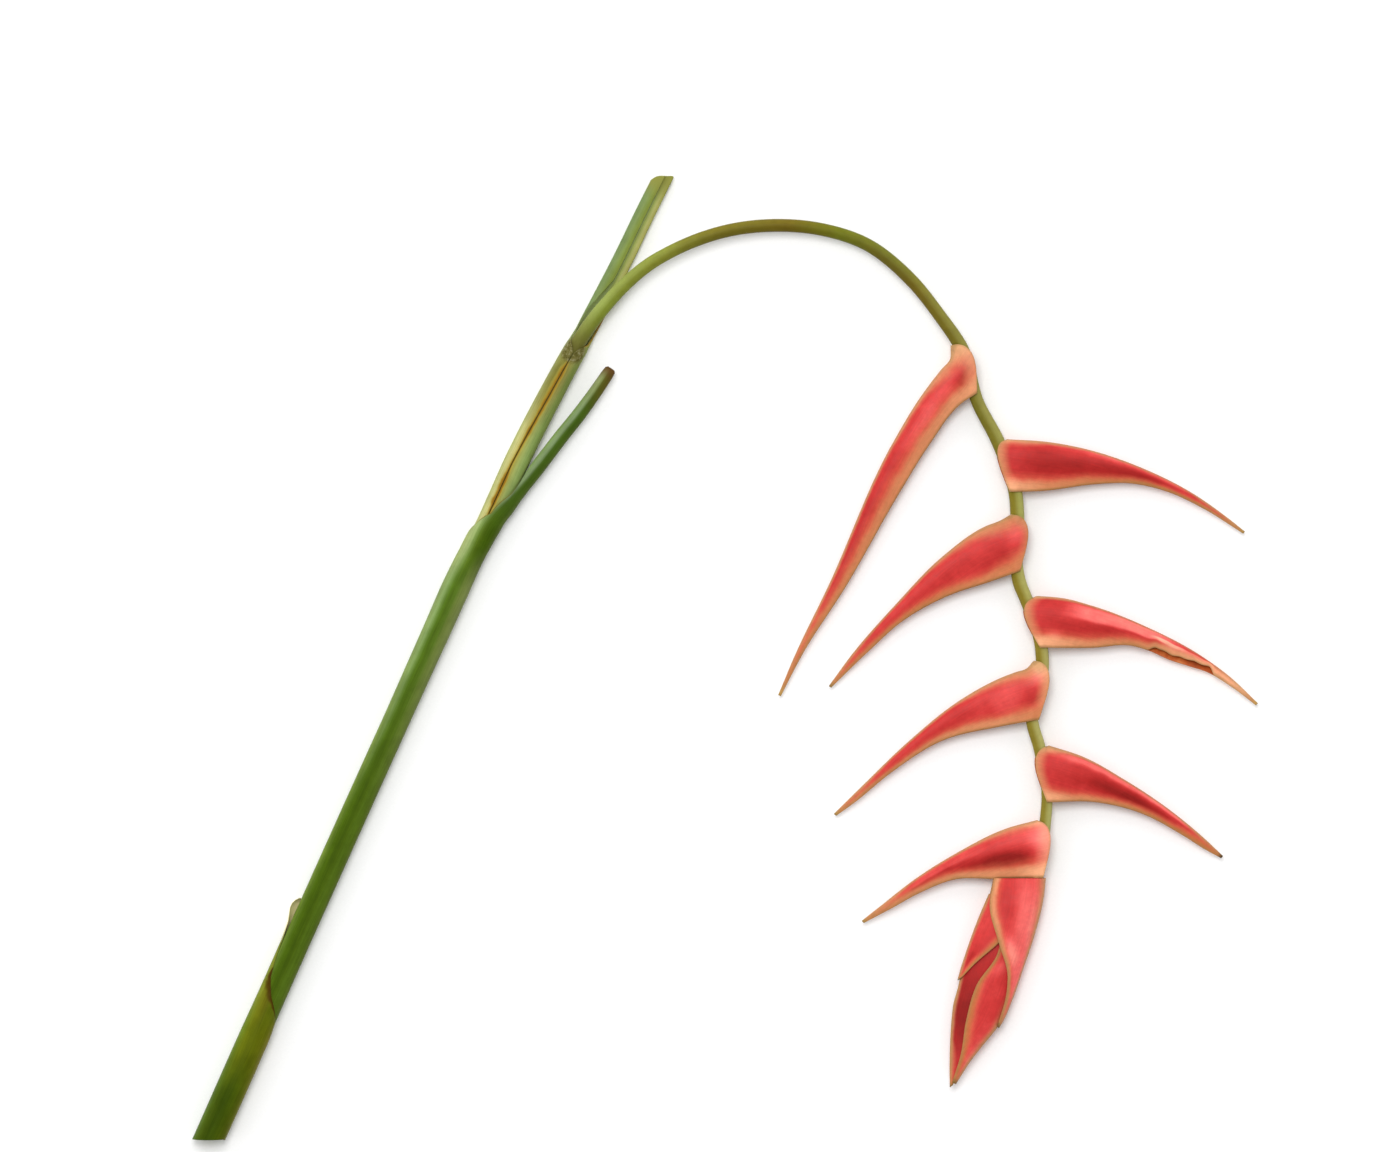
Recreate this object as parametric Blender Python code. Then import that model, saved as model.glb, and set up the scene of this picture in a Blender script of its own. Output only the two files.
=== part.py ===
"""A cut heliconia stem with one hanging flower head, lying on its side. Metres, +Z up, the table at z = 0.

The object lies in the XY plane as it was photographed from above. The points below are millimetres, +X to
the right and +Y up the photograph, and MM turns them into metres.
"""

import math

import bmesh
import bpy
import numpy as np
from mathutils import Vector

for old in list(bpy.data.objects):
    bpy.data.objects.remove(old, do_unlink=True)

MM = 0.001
UP = Vector((0.0, 0.0, 1.0))

# Moves the middle of the outline onto the origin
RECENTRE = (0.241, -0.056)

# Plain looks: colour in linear light, and roughness
LOWER_SHEATH_LOOK = ((0.16, 0.24, 0.02), 0.5)
MIDDLE_LEAF_LOOK = ((0.16, 0.3, 0.05), 0.45)
UPPER_LEAF_LOOK = ((0.35, 0.45, 0.15), 0.45)
FLOWER_STALK_LOOK = ((0.23, 0.23, 0.03), 0.4)
BRACT_LOOK = ((0.56, 0.05, 0.04), 0.4)
SHARP_ANGLE = 50.0

# The stem's middle line: x, y, height. The cut end is level with the photograph's lower edge.
STEM_LINE = (
    (-258.5, -241.5, 7.25),
    (-240.2, -200.0, 7.25),
    (-222.8, -160.0, 7.25),
    (-200.5, -110.0, 7.25),
    (-182.5, -70.0, 7.3),
    (-164.3, -30.0, 7.35),
    (-146.2, 10.0, 7.4),
    (-127.8, 50.0, 7.4),
    (-117.0, 70.0, 7.3),
    (-103.3, 100.0, 6.3),
    (-88.0, 130.0, 6.15),
    (-77.2, 150.0, 6.0),
)
CUT_LEVEL = -241.5

# Leaf stalks: where each one's middle line goes on after it leaves the stem
UPPER_STALK_LINE = (
    (-77.2, 150.0, 6.0),
    (-71.5, 160.0, 4.7),
    (-66.2, 170.0, 3.8),
    (-61.0, 180.0, 3.5),
    (-50.8, 200.0, 3.5),
    (-41.0, 220.0, 3.6),
    (-31.0, 240.1, 3.8),
)
MIDDLE_STALK_LINE = (
    (-117.0, 70.0, 7.3),
    (-106.5, 80.5, 7.3),
    (-98.0, 90.0, 7.2),
    (-90.0, 100.0, 7.4),
    (-82.3, 110.0, 7.4),
    (-74.2, 120.0, 7.2),
    (-66.8, 130.0, 7.0),
    (-57.4, 143.8, 6.8),
)

# The flower stalk past the sheath's mouth: x, y, height, radius
FLOWER_STALK_LINE = (
    (-88.0, 130.0, 6.2, 3.9),
    (-77.2, 150.0, 6.6, 3.8),
    (-74.5, 155.5, 7.6, 3.8),
    (-68.0, 165.5, 9.4, 3.7),
    (-59.5, 176.5, 10.5, 3.5),
    (-51.0, 186.5, 10.9, 3.4),
    (-39.0, 197.0, 10.9, 3.2),
    (-27.0, 203.5, 10.6, 3.1),
    (-13.0, 209.2, 10.1, 3.1),
    (2.0, 213.5, 9.5, 3.1),
    (24.5, 215.5, 8.8, 3.1),
    (47.0, 214.0, 8.2, 3.15),
    (69.5, 206.2, 7.7, 3.2),
    (92.0, 188.5, 7.3, 3.25),
    (107.0, 170.2, 7.1, 3.25),
    (118.0, 153.5, 7.0, 3.4),
    (126.0, 127.0, 7.0, 3.2),
    (136.5, 107.0, 7.1, 3.4),
    (144.0, 80.0, 7.2, 3.2),
    (146.2, 69.0, 7.2, 3.3),
    (146.2, 45.0, 7.3, 3.1),
    (152.0, 28.5, 7.3, 3.3),
    (157.2, 4.0, 7.4, 3.1),
    (157.8, -5.0, 7.4, 3.2),
    (154.4, -32.0, 7.5, 3.0),
    (157.0, -45.5, 7.5, 3.1),
    (160.2, -71.0, 7.6, 2.9),
    (159.8, -83.0, 7.7, 3.0),
    (155.6, -111.0, 7.8, 2.9),
    (148.0, -134.0, 7.8, 2.5),
    (138.5, -153.0, 7.8, 1.5),
)
STALK_RADIUS_IN_STEM = 4.0
STALK_SIDES = 12
STALK_STEP = 8.0
# How far along its line the flower stalk comes out of the sheaths
STALK_MOUTH = 400.0

# Each leaf by distance along its line: outer radius, wall, first and last margin in degrees,
# share of stalk in the section (0 a rolled sheath, 1 a solid channelled stalk), flattening.
# Degrees run from the right (0) over the front (90) to the left (180); below 0 is the back.
WALL = 0.8
LOWER_SHEATH = (
    (0.0, 7.45, WALL, -8.0, 345.0, 0.0, 1.0),
    (40.0, 7.5, WALL, -8.0, 345.0, 0.0, 1.0),
    (68.0, 7.5, WALL, -8.0, 345.0, 0.0, 1.0),
    (73.0, 7.5, WALL, 15.0, 320.0, 0.0, 1.0),
    (80.0, 7.5, WALL, 75.0, 270.0, 0.0, 1.0),
    (90.0, 7.5, WALL, 140.0, 225.0, 0.0, 1.0),
    (97.0, 7.6, WALL, 152.0, 212.0, 0.0, 1.0),
    (112.0, 8.2, WALL, 158.0, 208.0, 0.0, 1.0),
    (125.0, 9.4, WALL, 160.0, 206.0, 0.0, 1.0),
    (131.0, 9.8, WALL, 166.0, 200.0, 0.0, 1.0),
    (133.5, 9.9, WALL, 174.0, 192.0, 0.0, 1.0),
)
MIDDLE_LEAF = (
    (0.0, 6.4, WALL, -157.0, 200.0, 0.0, 1.0),
    (95.0, 6.4, WALL, -157.0, 200.0, 0.0, 1.0),
    (189.0, 6.4, WALL, -157.0, 200.0, 0.0, 1.0),
    (233.0, 6.3, WALL, -157.0, 200.0, 0.0, 1.0),
    (266.0, 6.6, WALL, -157.0, 200.0, 0.0, 1.0),
    (300.0, 7.0, WALL, -157.0, 200.0, 0.0, 1.0),
    (320.0, 6.8, WALL, -157.0, 200.0, 0.0, 1.0),
    (328.0, 6.7, WALL, -150.0, 185.0, 0.0, 1.0),
    (335.0, 7.0, WALL, -125.0, 135.0, 0.0, 1.0),
    (343.0, 7.3, WALL, -100.0, 100.0, 0.0, 1.0),
    (350.0, 6.6, 1.0, -85.0, 108.0, 0.1, 1.0),
    (357.0, 5.0, 1.0, -80.0, 115.0, 0.4, 1.0),
    (364.0, 4.3, 1.0, -75.0, 130.0, 0.7, 1.0),
    (371.0, 3.9, 1.0, -70.0, 145.0, 0.9, 1.0),
    (383.0, 3.6, 0.9, -65.0, 155.0, 1.0, 1.0),
    (409.0, 3.3, 0.9, -60.0, 160.0, 1.0, 1.0),
    (435.5, 2.8, 0.9, -55.0, 165.0, 1.0, 1.0),
    (437.5, 2.7, 0.9, -55.0, 165.0, 1.0, 1.0),
)
UPPER_LEAF = (
    (0.0, 5.2, WALL, -252.0, 102.0, 0.0, 1.0),
    (95.0, 5.2, WALL, -252.0, 102.0, 0.0, 1.0),
    (189.0, 5.2, WALL, -252.0, 102.0, 0.0, 1.0),
    (290.0, 5.2, WALL, -252.0, 102.0, 0.0, 1.0),
    (320.0, 5.5, WALL, -252.0, 102.0, 0.0, 1.0),
    (335.0, 5.8, WALL, -251.0, 103.0, 0.0, 1.0),
    (343.0, 6.1, WALL, -248.0, 106.0, 0.0, 1.0),
    (350.0, 6.3, WALL, -248.0, 106.0, 0.0, 1.0),
    (370.0, 6.3, WALL, -250.0, 104.0, 0.0, 1.0),
    (409.0, 6.1, WALL, -257.0, 97.0, 0.0, 1.0),
    (424.0, 5.8, WALL, -259.0, 94.0, 0.0, 1.0),
    (430.0, 5.7, 0.9, -240.0, 70.0, 0.0, 1.0),
    (435.0, 5.5, 1.0, -205.0, 25.0, 0.1, 0.95),
    (441.0, 5.4, 1.0, -180.0, 0.0, 0.3, 0.85),
    (450.0, 5.3, 1.0, -190.0, 8.0, 0.75, 0.68),
    (462.0, 5.2, 1.0, -240.0, 40.0, 1.0, 0.6),
    (475.0, 5.1, 1.0, -276.0, 71.0, 1.0, 0.58),
    (531.0, 4.8, 1.0, -276.0, 71.0, 1.0, 0.62),
    (532.7, 4.8, 1.0, -276.0, 71.0, 1.0, 0.62),
)
LEAF_POINTS = 18
# A leaf stalk's channel depth as a share of its radius, and its cut end's size as a share of the last section
CHANNEL_DEPTH = 0.42
TIP_ROUNDING = 0.85
# Most distance between sections in millimetres, and most turn of a margin from one to the next in degrees
STEM_STEP = 32.0
MOST_TURN = 15.0
# Where along its line the middle leaf opens, and its gap to the upper leaf from there on
MIDDLE_OPENING = 305.0
MOUTH_GAP = 0.4

# Points taken along a line to measure its length and to find the nearest place on it
LENGTH_SAMPLES = 400
STEM_SAMPLE_COUNT = 300
STALK_SAMPLE_COUNT = 1500
# Share of a line's length on each side of a point that gives its direction there
LINE_PROBE = 0.003

# Open bracts. Each row gives the keel (the folded edge) and the lips (the free edges) from base to tip as
# the photograph shows them, how far the base's margin reaches round the flower stalk, and the tip's height.
BRACTS = {
    "bract_1": (
        (
            (112.4, 152.2), (109.0, 145.0), (97.5, 130.0), (83.0, 106.0),
            (50.5, 34.0), (35.0, 2.0), (26.3, -19.6),
        ),
        (
            (125.0, 132.0), (117.5, 126.5), (101.5, 106.0), (86.5, 82.0),
            (59.0, 34.0), (38.5, 2.0), (27.4, -20.2),
        ),
        (7.0, 2.0),
        4.0,
    ),
    "bract_2": (
        (
            (141.4, 108.4), (158.5, 107.5), (181.0, 103.5), (209.0, 94.0),
            (233.0, 82.0), (250.5, 70.0), (259.5, 62.1),
        ),
        (
            (142.8, 82.2), (158.8, 82.6), (185.5, 86.0), (202.0, 86.4),
            (220.0, 82.5), (238.5, 74.0), (258.8, 61.2),
        ),
        (-7.0, 2.0),
        4.5,
    ),
    "bract_3": (
        ((141.4, 70.6), (133.5, 66.5), (108.0, 50.0), (84.5, 26.0), (63.5, 2.0), (51.6, -15.2)),
        ((146.8, 42.8), (133.5, 38.0), (110.0, 30.0), (88.5, 18.0), (70.5, 2.0), (52.6, -15.9)),
        (6.8, 2.0),
        4.0,
    ),
    "bract_4": (
        (
            (156.8, 30.0), (168.5, 29.0), (184.0, 25.0), (211.0, 14.5),
            (237.5, 0.5), (252.0, -10.0), (266.0, -23.8),
        ),
        (
            (158.3, 3.8), (184.0, 4.2), (202.0, 5.5), (220.0, 1.5),
            (237.0, -4.0), (253.0, -14.8), (265.2, -24.7),
        ),
        (-8.0, 1.0),
        4.5,
    ),
    "bract_5": (
        ((153.2, -4.2), (137.5, -10.0), (116.5, -22.0), (91.5, -42.0), (66.5, -66.0), (54.1, -79.2)),
        ((156.2, -30.8), (137.0, -34.5), (108.0, -42.0), (82.5, -58.0), (63.0, -74.0), (55.1, -80.0)),
        (6.6, 1.6),
        4.0,
    ),
    "bract_6": (
        ((161.6, -44.6), (178.0, -50.0), (200.0, -62.0), (218.5, -74.0), (238.5, -90.0), (248.6, -100.3)),
        ((160.4, -72.4), (184.5, -72.5), (206.5, -78.0), (229.0, -90.0), (240.0, -97.0), (247.7, -101.2)),
        (-6.6, 1.2),
        4.5,
    ),
    "bract_7": (
        ((155.2, -81.8), (140.0, -86.0), (115.5, -98.0), (96.0, -110.0), (75.5, -126.0), (68.0, -132.7)),
        ((158.4, -110.4), (134.0, -111.0), (114.5, -111.3), (97.0, -118.0), (82.5, -126.0), (69.0, -133.6)),
        (5.6, 1.4),
        4.5,
    ),
}
# Rows from base to tip, columns from keel to lip, and how strongly they crowd towards the base and the keel
BRACT_ROWS = 11
BRACT_COLUMNS = 7
ROW_SPREAD = 1.7
COLUMN_SPREAD = 2.2
BRACT_WALL = 1.0
TIP_WALL = 0.45
# Half the width across the fold at the base and the tip, and how late it narrows between them
BRACT_HALF_WIDTH = 4.3
TIP_HALF_WIDTH = 0.35
BRACT_TAPER = 1.2
FOLD_ROUNDNESS = 0.6
# Half the opening between the lips: a share of the half width, a larger share near the base, and a part added
LIP_SHARE = 0.2
BASE_LIP_SHARE = 0.6
BASE_LIP_LENGTH = 12.0
LIP_OPENING = 0.45
# Gap to the flower stalk, how far along a bract its clasping base reaches, and how late its tip sinks
CLASP_GAP = 0.45
HEEL_LENGTH = 6.0
TIP_SINKING = 1.5

# The bud's outline, and the height of its middle line
BUD_LEFT = (
    (134.5, -112.0), (126.5, -130.0), (120.5, -146.0), (115.5, -162.0), (113.0, -178.0), (111.7, -202.0),
    (111.9, -216.5),
)
BUD_RIGHT = (
    (160.0, -110.0), (159.0, -120.0), (154.5, -139.0), (148.5, -157.0), (143.5, -171.5), (136.3, -186.5),
    (125.0, -199.0), (113.3, -216.5),
)
BUD_HEIGHT = 7.8
# Half the bud's thickness by how far below the middle of the photograph's outline it is
BUD_HALF_DEPTH = (
    (112.0, 4.5), (117.0, 6.0), (124.0, 6.9), (134.0, 7.3), (152.0, 7.35), (172.0, 6.9), (187.0, 6.1),
    (202.0, 4.8), (216.5, 2.2),
)
BUD_ROWS = 11
BUD_COLUMNS = 7
BUD_CLASP_GAP = 0.75
BUD_WALL = 0.8
# Distance from one bract's middle surface to the next, and how much closer they lie at the bud's tip
BUD_LAYER = 1.15
BUD_TIP_LEVELS = (-187.0, -216.0)
BUD_TIP_CLOSENESS = 0.5
# Half the length over which a bract comes out from under another
UNCOVERING = 6.0
# Closed bracts, outermost first: layers on top of it, side of its keel (1 right, -1 left), the free edges
# from base to tip, and where it comes out from under the bract on its keel's side
BUD_BRACTS = {
    "bud_bract_8": (
        0,
        1,
        (
            (133.9, -111.8), (131.7, -124.5), (136.0, -143.0),
            (140.5, -159.0), (140.0, -168.5), (135.8, -184.5),
        ),
        (-111.8, -186.0),
        None,
    ),
    "bud_bract_9": (
        1,
        -1,
        ((153.0, -119.0), (146.0, -133.0), (135.7, -143.5), (124.3, -153.5), (117.3, -161.0)),
        (-119.0, -162.0),
        None,
    ),
    "bud_bract_10": (
        2,
        1,
        (
            (139.0, -129.0), (135.0, -149.5), (125.2, -164.0),
            (120.0, -181.5), (117.2, -199.0), (113.0, -213.0),
        ),
        (-127.0, -214.0),
        -194.0,
    ),
    "bud_bract_11": (
        3,
        -1,
        ((143.0, -139.0), (140.0, -164.5), (130.5, -187.0), (119.0, -203.0), (113.2, -214.5)),
        (-136.0, -215.5),
        -170.0,
    ),
}


def spline(points, places):
    """Points on a smooth curve through the given ones. A place is the share of the length from the first."""
    points = np.array(points, dtype=float)
    steps = np.linalg.norm(np.diff(points, axis=0), axis=1)
    knots = np.concatenate(([0.0], np.cumsum(steps)))
    return hermite(knots, points, np.asarray(places, dtype=float) * knots[-1])


def hermite(knots, values, places):
    """A smooth curve through values at rising knots, read at places."""
    knots = np.asarray(knots, dtype=float)
    values = np.asarray(values, dtype=float)
    slopes = np.gradient(values, knots, axis=0)
    places = np.clip(places, knots[0], knots[-1])
    low = np.clip(np.searchsorted(knots, places, side="right") - 1, 0, len(knots) - 2)
    span = knots[low + 1] - knots[low]
    share = (places - knots[low]) / span
    shape = (len(places),) + (1,) * (values.ndim - 1)
    share = share.reshape(shape)
    span = span.reshape(shape)
    start = values[low] * (1 + 2 * share) * (1 - share) ** 2
    end = values[low + 1] * share**2 * (3 - 2 * share)
    start_slope = slopes[low] * span * share * (1 - share) ** 2
    end_slope = slopes[low + 1] * span * share**2 * (share - 1)
    return start + end + start_slope + end_slope


def between(table, place):
    """The row of a table at one place, in straight steps. Its first column is the place."""
    table = np.array(table, dtype=float)
    return [float(np.interp(place, table[:, 0], column)) for column in table.T[1:]]


def frames(line, step_points):
    """Middle points of a line and the side and front directions across it, at shares of its length."""
    middles = spline(line, step_points)
    ahead = spline(line, np.minimum(step_points + LINE_PROBE, 1.0))
    behind = spline(line, np.maximum(step_points - LINE_PROBE, 0.0))
    found = []
    for middle, start, end in zip(middles, behind, ahead):
        along = Vector(end[:3] - start[:3]).normalized()
        side = along.cross(UP).normalized()
        found.append((Vector(middle[:3]), along, side, side.cross(along)))
    return found


def length_of(line):
    """The length of a smooth line, from many short steps."""
    points = spline(np.array(line)[:, :3], np.linspace(0.0, 1.0, LENGTH_SAMPLES))
    return float(np.linalg.norm(np.diff(points, axis=0), axis=1).sum())


def new_object(name, mesh, look):
    """Puts a mesh in the scene as a named object with its own material."""
    colour, roughness = look
    material = bpy.data.materials.new(name)
    material.use_nodes = True
    shader = material.node_tree.nodes["Principled BSDF"]
    shader.inputs["Base Color"].default_value = (*colour, 1.0)
    shader.inputs["Roughness"].default_value = roughness
    shader.inputs["Metallic"].default_value = 0.0
    material.diffuse_color = (*colour, 1.0)
    mesh.materials.append(material)
    mesh.shade_smooth()
    mesh.set_sharp_from_angle(angle=math.radians(SHARP_ANGLE))
    obj = bpy.data.objects.new(name, mesh)
    bpy.context.scene.collection.objects.link(obj)
    return obj


def loft(name, rings, look):
    """A closed solid through rings of points in millimetres. Each end is filled from side to side."""
    bm = bmesh.new()
    loops = [[bm.verts.new(point * MM) for point in ring] for ring in rings]
    for lower, upper in zip(loops, loops[1:]):
        for index in range(len(lower)):
            after = (index + 1) % len(lower)
            bm.faces.new((lower[index], lower[after], upper[after], upper[index]))
    for end in (loops[0][::-1], loops[-1]):
        for index in range(len(end) // 2 - 1):
            bm.faces.new((end[index], end[index + 1], end[-index - 2], end[-index - 1]))
    bmesh.ops.triangulate(bm, faces=bm.faces)
    bmesh.ops.recalc_face_normals(bm, faces=bm.faces)
    mesh = bpy.data.meshes.new(name)
    bm.to_mesh(mesh)
    bm.free()
    return new_object(name, mesh, look)


def cut_across(ring, along):
    """Slides a ring's points along the stem until they lie in the plane of the oblique cut."""
    return [point + along * ((CUT_LEVEL - point.y) / along.y) for point in ring]


def stations(table, longest):
    """The table's own places, with more between them where they lie far apart or a margin turns fast."""
    found = []
    for start, end in zip(table, table[1:]):
        turn = max(abs(end[3] - start[3]), abs(end[4] - start[4]))
        parts = max(1, math.ceil((end[0] - start[0]) / longest), math.ceil(turn / MOST_TURN))
        found += [start[0] + (end[0] - start[0]) * part / parts for part in range(parts)]
    return found + [table[-1][0]]


def leaf_ring(frame, radius, wall, first, last, stalk_share, flat):
    """One closed section of a leaf: its outer side from margin to margin, and back along its inner side."""
    middle, _, side, front = frame
    keel = math.radians((first + last) / 2)
    keel_way = side * math.cos(keel) + front * (math.sin(keel) * flat)
    outer = []
    inner = []
    for angle in np.radians(np.linspace(first, last, LEAF_POINTS)):
        way = side * math.cos(angle) + front * (math.sin(angle) * flat)
        outer.append(middle + way * radius)
        inner.append(middle + way * (radius - wall))
    channel = []
    for index, point in enumerate(inner):
        across = 2 * index / (LEAF_POINTS - 1) - 1
        chord = inner[0].lerp(inner[-1], (across + 1) / 2)
        channel.append(chord + keel_way * (CHANNEL_DEPTH * radius * (1 - across**2)))
    inner = [point.lerp(deep, stalk_share) for point, deep in zip(inner, channel)]
    return outer, inner


def leaf_rings(table, line, longest):
    """All the sections of a leaf, from the cut end to the end of its stalk."""
    total = length_of(line)
    places = stations(table, longest)
    rings = []
    for place, frame in zip(places, frames(line, np.array(places) / total)):
        outer, inner = leaf_ring(frame, *between(table, place))
        if place == 0.0:
            outer = cut_across(outer, frame[1])
            inner = cut_across(inner, frame[1])
        rings.append((outer, inner))
    return rings


def round_tip(rings):
    """Draws the last section in a little, as a cut that has dried and shrunk."""
    outer, inner = rings[-1]
    middle = sum(outer + inner, Vector()) / len(outer + inner)
    rings[-1] = tuple([middle.lerp(point, TIP_ROUNDING) for point in half] for half in (outer, inner))


def push_clear(point, extra):
    """Moves a point straight out from the stem until it is this far outside the upper leaf."""
    middle, along, reach = min(STEM_SAMPLES, key=lambda sample: (sample[0] - point).length_squared)
    away = point - middle
    away -= along * away.dot(along)
    return point + away.normalized() * max(0.0, reach + extra - away.length)


def rest_on_table(rings):
    """Presses flat what would reach below the table."""
    for outer, _ in rings:
        for point in outer:
            point.z = max(point.z, 0.0)


def lower_leaf_sheath():
    """The outermost sheath, cut off at the stem's end, with the dry stub that stands off its left side."""
    rings = leaf_rings(LOWER_SHEATH, STEM_LINE, STEM_STEP)
    rest_on_table(rings)
    return loft("lower_leaf_sheath", [outer + inner[::-1] for outer, inner in rings], LOWER_SHEATH_LOOK)


def middle_leaf():
    """The second leaf: a sheath round the upper leaf, opening into a cut stalk on the right."""
    rings = leaf_rings(MIDDLE_LEAF, STEM_LINE[:9] + MIDDLE_STALK_LINE[1:], STEM_STEP)
    for place, (outer, inner) in zip(stations(MIDDLE_LEAF, STEM_STEP), rings):
        if place > MIDDLE_OPENING:
            inner[:] = [push_clear(point, MOUTH_GAP) for point in inner]
            outer[:] = [push_clear(point, MOUTH_GAP + WALL) for point in outer]
    rest_on_table(rings)
    round_tip(rings)
    return loft("middle_leaf", [outer + inner[::-1] for outer, inner in rings], MIDDLE_LEAF_LOOK)


def upper_leaf():
    """The innermost leaf: a sheath round the flower stalk, and its channelled stalk going on behind it."""
    rings = leaf_rings(UPPER_LEAF, STEM_LINE + UPPER_STALK_LINE[1:], STEM_STEP)
    rest_on_table(rings)
    round_tip(rings)
    return loft("upper_leaf", [outer + inner[::-1] for outer, inner in rings], UPPER_LEAF_LOOK)


def flower_stalk():
    """The flower stalk from the cut end to the middle of the bud."""
    total = length_of(STALK_LINE)
    hidden = np.arange(0.0, STALK_MOUTH, STEM_STEP)
    shown = np.linspace(STALK_MOUTH, total, round((total - STALK_MOUTH) / STALK_STEP) + 1)
    shares = np.concatenate((hidden, shown)) / total
    radii = spline(STALK_LINE, shares)[:, 3]
    turns = np.linspace(0.0, 2 * math.pi, STALK_SIDES, endpoint=False)
    rings = []
    for radius, (middle, along, side, front) in zip(radii, frames(STALK_LINE, shares)):
        ring = [middle + (side * math.cos(turn) + front * math.sin(turn)) * radius for turn in turns]
        rings.append(ring if rings else cut_across(ring, along))
    return loft("flower_stalk", rings, FLOWER_STALK_LOOK)


def folded_sheet(name, rows, columns, place, wall, tip_share):
    """A sheet folded along its keel. place gives the point at -1 to 1 across and 0 to 1 along."""
    bm = bmesh.new()
    bmesh.ops.create_grid(bm, x_segments=2 * columns, y_segments=rows, size=1.0)
    thickness = bm.verts.layers.deform.verify()
    for vert in bm.verts:
        along = (vert.co.y + 1) / 2
        vert[thickness][0] = 1 - along
        vert.co = place(vert.co.x, along) * MM
    bmesh.ops.triangulate(bm, faces=bm.faces)
    bmesh.ops.recalc_face_normals(bm, faces=bm.faces)
    mesh = bpy.data.meshes.new(name)
    bm.to_mesh(mesh)
    bm.free()
    obj = new_object(name, mesh, BRACT_LOOK)
    obj.vertex_groups.new(name="wall")
    solid = obj.modifiers.new("wall", "SOLIDIFY")
    solid.thickness = wall * MM
    solid.offset = 0.0
    solid.vertex_group = "wall"
    solid.thickness_vertex_group = tip_share
    return obj


def open_bract(name, keel, lips, heel, tip_height):
    """An open bract, folded like a boat, whose base clasps the flower stalk."""
    heel = np.array(heel)
    reach = np.linalg.norm(np.array(keel[0]) - np.array(keel[-1]))
    base_height = nearest_stalk(np.array(keel[0]))[1]

    def place(across, along):
        share = abs(across) ** COLUMN_SPREAD
        along = along**ROW_SPREAD
        top = spline(keel, [along])[0]
        edge = spline(lips, [along])[0]
        swell = math.sin(math.pi * share**FOLD_ROUNDNESS)
        flat = top + (edge - top) * share + heel * swell * math.exp(-along * reach / HEEL_LENGTH)
        half = BRACT_HALF_WIDTH * (1 - along**BRACT_TAPER) + TIP_HALF_WIDTH
        lip_share = LIP_SHARE + BASE_LIP_SHARE * math.exp(-along * reach / BASE_LIP_LENGTH)
        depth = half * swell + (half * lip_share + LIP_OPENING) * share**2
        distance, _, radius = nearest_stalk(flat)
        clasp = radius + CLASP_GAP + BRACT_WALL / 2
        if across and distance < clasp:
            depth = max(depth, math.sqrt(clasp**2 - distance**2))
        height = base_height + (tip_height - base_height) * along**TIP_SINKING
        return Vector((*flat, height + math.copysign(depth, across)))

    return folded_sheet(name, BRACT_ROWS, BRACT_COLUMNS, place, BRACT_WALL, TIP_WALL / BRACT_WALL)


def nearest_stalk(flat):
    """Distance seen from above to the flower stalk's middle line, and its height and radius there."""
    distances = np.linalg.norm(STALK_SAMPLES[:, :2] - flat, axis=1)
    nearest = int(np.argmin(distances))
    return float(distances[nearest]), float(STALK_SAMPLES[nearest, 2]), float(STALK_SAMPLES[nearest, 3])


def across_at(outline, level):
    """How far right an outline of the bud lies at one level down the photograph."""
    outline = np.array(outline)
    return float(hermite(-outline[:, 1], outline[:, 0], [-level])[0])


def bud_bract(name, layer, keel_side, lips, levels, uncovered):
    """A closed bract of the bud. It lies in an oval tube, inside those of the bracts on top of it."""

    def tube(level):
        tight = 1 - BUD_TIP_CLOSENESS * smooth_step(level, *BUD_TIP_LEVELS)
        gap = BUD_LAYER * tight
        covered = 0.0
        if uncovered is not None:
            covered = smooth_step(level, uncovered - UNCOVERING, uncovered + UNCOVERING)
        keel_inset = BUD_WALL / 2 * tight + gap * covered
        if uncovered is None:
            far_inset = BUD_WALL / 2 + gap * (-1 if layer == 0 else 1)
        else:
            far_inset = BUD_WALL / 2 * tight + gap * ((2 * covered - 1) if layer == 2 else 1 + covered)
        left, right = (keel_inset, far_inset) if keel_side < 0 else (far_inset, keel_inset)
        start = across_at(BUD_LEFT, level) + left
        end = across_at(BUD_RIGHT, level) - right
        depth = between(BUD_HALF_DEPTH, -level)[0] - gap * layer
        return start, end, max(depth, TIP_HALF_WIDTH)

    def place(across, along):
        level = levels[0] + (levels[1] - levels[0]) * along
        start, end, _ = tube(level)
        top = np.array((end if keel_side > 0 else start, level))
        edge = spline(lips, [along])[0]
        start, end, _ = tube(edge[1])
        lip_turn = math.acos(max(-1.0, keel_side * (2 * edge[0] - start - end) / (end - start)))
        flat = top + (edge - top) * (1 - math.cos(lip_turn * abs(across))) / (1 - math.cos(lip_turn))
        start, end, depth = tube(flat[1])
        offset = (2 * flat[0] - start - end) / (end - start)
        depth *= math.sqrt(max(0.0, 1 - offset**2))
        distance, _, radius = nearest_stalk(flat)
        clasp = radius + BUD_CLASP_GAP + BUD_WALL / 2
        if layer == 0 and across and distance < clasp:
            depth = max(depth, math.sqrt(clasp**2 - distance**2))
        return Vector((*flat, BUD_HEIGHT + math.copysign(depth, across) * (across != 0)))

    return folded_sheet(name, BUD_ROWS, BUD_COLUMNS, place, BUD_WALL, TIP_WALL / BUD_WALL)


def smooth_step(value, start, end):
    """0 before start, 1 past end, and a soft step between."""
    share = min(1.0, max(0.0, (value - start) / (end - start)))
    return share * share * (3 - 2 * share)


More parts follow.
